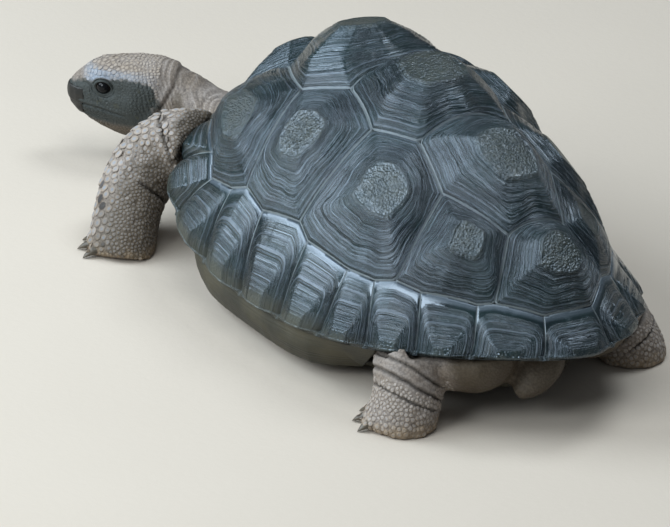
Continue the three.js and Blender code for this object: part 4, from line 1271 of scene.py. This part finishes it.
size = 1.0 + 0.18 * layeredNoise(points * 0.15, 410, 2)
for word in ("Left", "Right"):
    where, away = along(points, limbs["fore" + word])
    outer = (where > 20) & (away < 22) & (points[:, 2] > 1.2) & (creaseShade < 0.6)
    outer &= np.abs(points[:, 0]) > 30
    width = size * (1.3 + 2.6 * legFront)
    laySkinScales("scalesFore" + word, outer, width, 0.13 + 0.18 * legFront, 0.08, 21)
    where, away = along(points, limbs["hind" + word])
    outer = (where > 34) & (away < 17) & (points[:, 2] > 1.2) & (creaseShade < 0.4)
    outer &= smoothstep(26, 6, points[:, 2]) > 0.15 + 0.5 * (speckle + 0.5)
    width = size * (1.25 + 0.6 * smoothstep(16, 6, points[:, 2]))
    laySkinScales("scalesHind" + word, outer, width, np.full(len(points), 0.13), 0.08, 22, 0.95)
crownPart = headShare * (back < 40) * (eyeRing > 2.3) * (np.abs(overMouth(back, up)) > 1.6)
headScales = (crownPart > 0.9) & (back > 8) & (up > -14)
width = size * (1.25 + 0.7 * smoothstep(5, 12, up) * smoothstep(34, 22, back))
laySkinScales("scalesHead", headScales, width, np.full(len(points), 0.05), 0.0, 23, 0.6)
print("scales laid")

# ---- horn of the beak and the claws

# Dark horn with fine streaks, paler towards a tip.
def streakedHorn(name, look):
    paint = Paint(name)
    streak = paint.grain(paint.place(), look["scale"], 3.0, 0.6)
    tone = paint.mix(paint.ramp(streak, look["from"], 0.7), look["dark"], look["light"])
    if "tip" in look:
        tone = paint.mix(paint.attribute("tip") * 0.5, tone, look["tip"])
    return paint.finish({
        "Base Color": tone,
        "Roughness": 0.4 + streak * 0.15,
        "Normal": paint.bump(streak, look["relief"], 0.0003),
        "Specular IOR Level": look["gloss"],
    })


beakLook = {"scale": 260.0, "from": 0.35, "dark": (0.008, 0.008, 0.007), "light": (0.026, 0.024, 0.020),
            "relief": 0.3, "gloss": 0.4}
hornDark = streakedHorn("beakHorn", beakLook)
for name in ("beak_upper", "beak_lower"):
    beak = grownCopy(name + "_horn", [name], 0.0006, 0.00045, 6)
    bpy.ops.object.shade_smooth()
    finishPiece(beak, hornDark, "beak", name)

claws = {
    "sides": 12,
    "rows": 14,
    "root": 2.4,
    "length": 9.0,
    "sunk": 3.5,
    "arch": 0.9,
    "bend": 2.24,
    "flat": 0.8,
    "reach": 12.4,
}
# Each foot's limb, side, heading in degrees from straight ahead, and the fan of its claws.
feet = [
    ("foreLeft", 1, 32, (-56, -28, 0, 28, 56)),
    ("foreRight", -1, 26, (-56, -28, 0, 28, 56)),
    ("hindLeft", 1, 40, (-45, -15, 15, 45)),
    ("hindRight", -1, 34, (-45, -15, 15, 45)),
]
clawLook = {"scale": 420.0, "from": 0.3, "dark": (0.022, 0.019, 0.015), "light": (0.070, 0.058, 0.042),
            "tip": (0.130, 0.105, 0.070), "relief": 0.35, "gloss": 0.55}
clawHorn = streakedHorn("clawHorn", clawLook)
for name, side, heading, fan in feet:
    foot = limbs[name][-1]
    for k, spread in enumerate(fan):
        angle = (math.radians(heading) + math.radians(spread)) * side
        way = np.array([math.sin(angle), -math.cos(angle), 0])
        level = np.array([way[1], -way[0], 0])
        claw, column, row = sleeve(f"claw_{name}_{k + 1}", claws["sides"], claws["rows"])
        t = row / claws["rows"]
        width = claws["root"] * (1 - t**2.2) ** 0.8 + 0.02
        turnAngle = column / claws["sides"] * 2 * math.pi
        forwards = -claws["sunk"] + claws["length"] * t
        upwards = claws["root"] * 0.95 + claws["arch"] * np.sin(t * math.pi * 0.9) - claws["bend"] * t**2.2
        local = (
            foot * [1, 1, 0]
            + way * (claws["reach"] + forwards)[:, None]
            + level * (np.cos(turnAngle) * width)[:, None]
            + np.array([0, 0, 1]) * (upwards + np.sin(turnAngle) * width * claws["flat"])[:, None]
        )
        local[:, 2] = np.maximum(local[:, 2], 0.05)
        place(claw, local * mm)
        mark(claw, tip=t)
        capSleeve(claw)
        finishPiece(claw, clawHorn, "beak")
print("horn laid")

# ---- eyes: a dark ball with a clear bulge in front

glass = Paint("eyeBall")
where = glass.place()
iris = glass.attribute("iris")
fleck = glass.grain(where, 1400.0, 2.0)
tone = glass.mix(glass.ramp(iris, 0.5, 0.95), (0.003, 0.004, 0.005), (0.012, 0.010, 0.008))
tone = glass.mix(fleck * 0.3, tone, (0.010, 0.008, 0.007))
eyeBall = glass.finish({"Base Color": tone, "Roughness": 0.09 + fleck * 0.06, "Specular IOR Level": 0.2})
for word, side in sides:
    centre = fromHead(eyeSpot * [1, side, 1]) * mm
    deselectAll()
    bpy.ops.mesh.primitive_uv_sphere_add(segments=40, ring_count=26, radius=head["eyeRadius"] * mm)
    eye = bpy.context.object
    eye.name = f"eyeball_{word}"
    ball = coordinates(eye)
    look = leftward * side
    facingOut = ball @ look / (head["eyeRadius"] * mm)
    bulge = smoothstep(0.72, 1.0, facingOut) * 0.00025
    ball = ball * (1 - 0.03 * (1 - np.abs(facingOut)))[:, None] + look * bulge[:, None]
    place(eye, ball + centre)
    mark(eye, iris=smoothstep(0.95, 0.72, facingOut))
    activate(eye)
    bpy.ops.object.shade_smooth()
    finishPiece(eye, eyeBall, "eye", f"eye_{word}")
print("eyes set")

# ---- plastron: each plate grown from its solid, with rings pressed in round its middle

plate = Paint("plastronHorn")
where = plate.place()
ring = plate.attribute("ring")
broad = plate.grain(where, 60.0, 3.0)
lines = plate.lines(ring, 26.0, 3.0)
tone = plate.mix(plate.ramp(broad, 0.3, 0.7), (0.022, 0.021, 0.012), (0.066, 0.058, 0.033))
tone = plate.mix(plate.ramp(lines, 0.5, 0.7) * 0.5, tone, (0.020, 0.022, 0.020))
plastronHorn = plate.finish(
    {"Base Color": tone, "Roughness": 0.45 + broad * 0.2, "Normal": plate.bump(lines, 0.5, 0.0006)}
)
for name in ("gular", "humeral", "pectoral", "abdominal", "femoral", "anal"):
    low, high = (np.array(end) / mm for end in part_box(name))
    piece = grownCopy(name + "_plate", [name], 0.0, 0.0013, 3)
    points = coordinates(piece) / mm
    centre, half = (low + high) / 2, (high - low) / 2
    aside, across = (np.abs(points[:, :2] - centre[:2]) / half[:2]).T
    out = np.maximum(np.abs(aside * 2 - 1), across)
    relief = 0.22 * np.sin(out * 46) * smoothstep(1.0, 0.9, out)
    seamLine = 0.5 * bell(points[:, 0] - centre[0], 0.5)
    place(piece, (points + normals(piece) * (relief - seamLine)[:, None]) * mm)
    mark(piece, ring=out)
    bpy.ops.object.shade_smooth()
    finishPiece(piece, plastronHorn, "plastron", name)

# At the bridge the horn wraps under from the rim to the plastron, and closes the groin behind it.
bridge = {
    "angles": (60.0, 122.0),
    "stations": 110,
    "columns": 40,
    # The lower edge's half width at some places along the shell.
    "places": [-58, -50, -42, -30, -18, -6, 5, 16, 25, 31, 37],
    "halfWidths": [61, 69.4, 71.6, 72.6, 72.8, 72.6, 72.2, 71.0, 68, 62, 52],
    "foot": 5.6,
    "belly": 1.6,
    "wall": 2.2,
    "tuckedIn": 1.6,
}
for word, side in sides:
    count = bridge["stations"]
    piece, column, station = sleeve(f"bridge_{word}", bridge["columns"], count - 1)
    angles = np.radians(np.linspace(*bridge["angles"], count))
    rimLine = np.stack([np.sin(angles) * side, -np.cos(angles)], -1)
    rim, outward = onDome(rimLine), unit(normalAt(rimLine) * [1, 1, 0])
    high = rim - outward * bridge["tuckedIn"] - [0, 0, marginals["lip"] - 0.4]
    y = np.clip(rim[:, 1] * 0.93 - 1.5, bridge["places"][0], bridge["places"][-1])
    narrow = 1 - (shell["offSide"] * smoothstep(-40, 45, y) if side < 0 else 0)
    x = np.interp(y, bridge["places"], bridge["halfWidths"]) * narrow * side
    low = np.stack([x, y, np.full(count, bridge["foot"])], -1)
    # Half the columns lie outside and half inside.
    t = column / (bridge["columns"] / 2)
    down = np.where(t <= 1, t, 2 - t)
    surface = high[station] + (low - high)[station] * down[:, None]
    swell = np.sin(down * math.pi)
    belly = bridge["belly"] * swell - np.where(t > 1, bridge["wall"], 0) * swell**0.3
    surface = surface + outward[station] * (belly + 0.5 * layeredNoise(surface * 0.13, 601, 3))[:, None]
    place(piece, toMetres(surface))
    mark(piece, ring=down * 0.8)
    capSleeve(piece)
    finishPiece(piece, plastronHorn, "plastron")
print("plastron laid")

# ---- floor, light and camera

view = {
    "azimuth": 145.829,
    "elevation": 25.445,
    "roll": 3.723,
    "target": (64.50, 32.07, 50.0),
    "distance": 2.55288,
    "lens": 360.02,
    "sensor": 36.0,
    "farthest": 20.0,
}


def direction(azimuth, elevation):
    a, e = math.radians(azimuth), math.radians(elevation)
    return Vector((math.sin(a) * math.cos(e), -math.cos(a) * math.cos(e), math.sin(e)))


def aimed(location, target, roll=0.0):
    back = (Vector(location) - Vector(target)).normalized()
    right = Vector((0, 0, 1)).cross(back).normalized()
    up = back.cross(right)
    turn = math.radians(roll)
    across = right * math.cos(turn) + up * math.sin(turn)
    upright = up * math.cos(turn) - right * math.sin(turn)
    matrix = Matrix((across, upright, back)).transposed().to_4x4()
    matrix.translation = Vector(location)
    return matrix


cameraData = bpy.data.cameras.new("camera")
cameraData.lens = view["lens"]
cameraData.sensor_width = view["sensor"]
cameraData.clip_end = view["farthest"]
camera = bpy.data.objects.new("camera", cameraData)
bpy.context.collection.objects.link(camera)
target = Vector((shellMiddle + view["target"]) * mm)
eyePoint = target + direction(view["azimuth"], view["elevation"]) * view["distance"]
camera.matrix_world = aimed(eyePoint, target, view["roll"])
bpy.context.scene.camera = camera

studio = {
    # azimuth, elevation, distance, size, power and colour of each lamp
    "lamps": {
        "key": (52, 36, 1.1, 0.80, 12.5, (0.80, 0.91, 1.0)),
        "top": (130, 80, 1.2, 0.80, 4.5, (0.88, 0.95, 1.0)),
        "fill": (100, 31, 1.2, 0.58, 7.5, (0.86, 0.94, 1.0)),
        "rim": (282, 62, 1.2, 0.45, 5.0, (0.84, 0.93, 1.0)),
    },
    "aim": (0, 0.03, 0.03),
    "world": (0.140, 0.156, 0.172),
    "floor": [(0.525, 0.462, 0.390), (0.565, 0.500, 0.425)],
}
for name, (azimuth, elevation, distance, breadth, power, colour) in studio["lamps"].items():
    data = bpy.data.lights.new(name, "AREA")
    data.shape = "DISK"
    data.size = breadth
    data.energy = power
    data.color = colour
    light = bpy.data.objects.new(name, data)
    bpy.context.collection.objects.link(light)
    light.matrix_world = aimed(direction(azimuth, elevation) * distance, studio["aim"])
world = bpy.data.worlds.new("studio")
world.use_nodes = True
world.node_tree.nodes["Background"].inputs[0].default_value = (*studio["world"], 1)
world.node_tree.nodes["Background"].inputs[1].default_value = 1.0
bpy.context.scene.world = world
bpy.context.scene.view_settings.view_transform = "Standard"

deselectAll()
bpy.ops.mesh.primitive_plane_add(size=12.0)
floor = bpy.context.object
floor.name = "floor"
paint = Paint("paleFloor")
where = paint.place()
mottle = paint.grain(where, 6.0, 3.0)
tone = paint.mix(mottle, *studio["floor"])
uneven = paint.bump(paint.grain(where, 300.0), 0.1, 0.001)
floor.data.materials.append(paint.finish({"Base Color": tone, "Roughness": 0.85, "Normal": uneven}))
print("stage set")
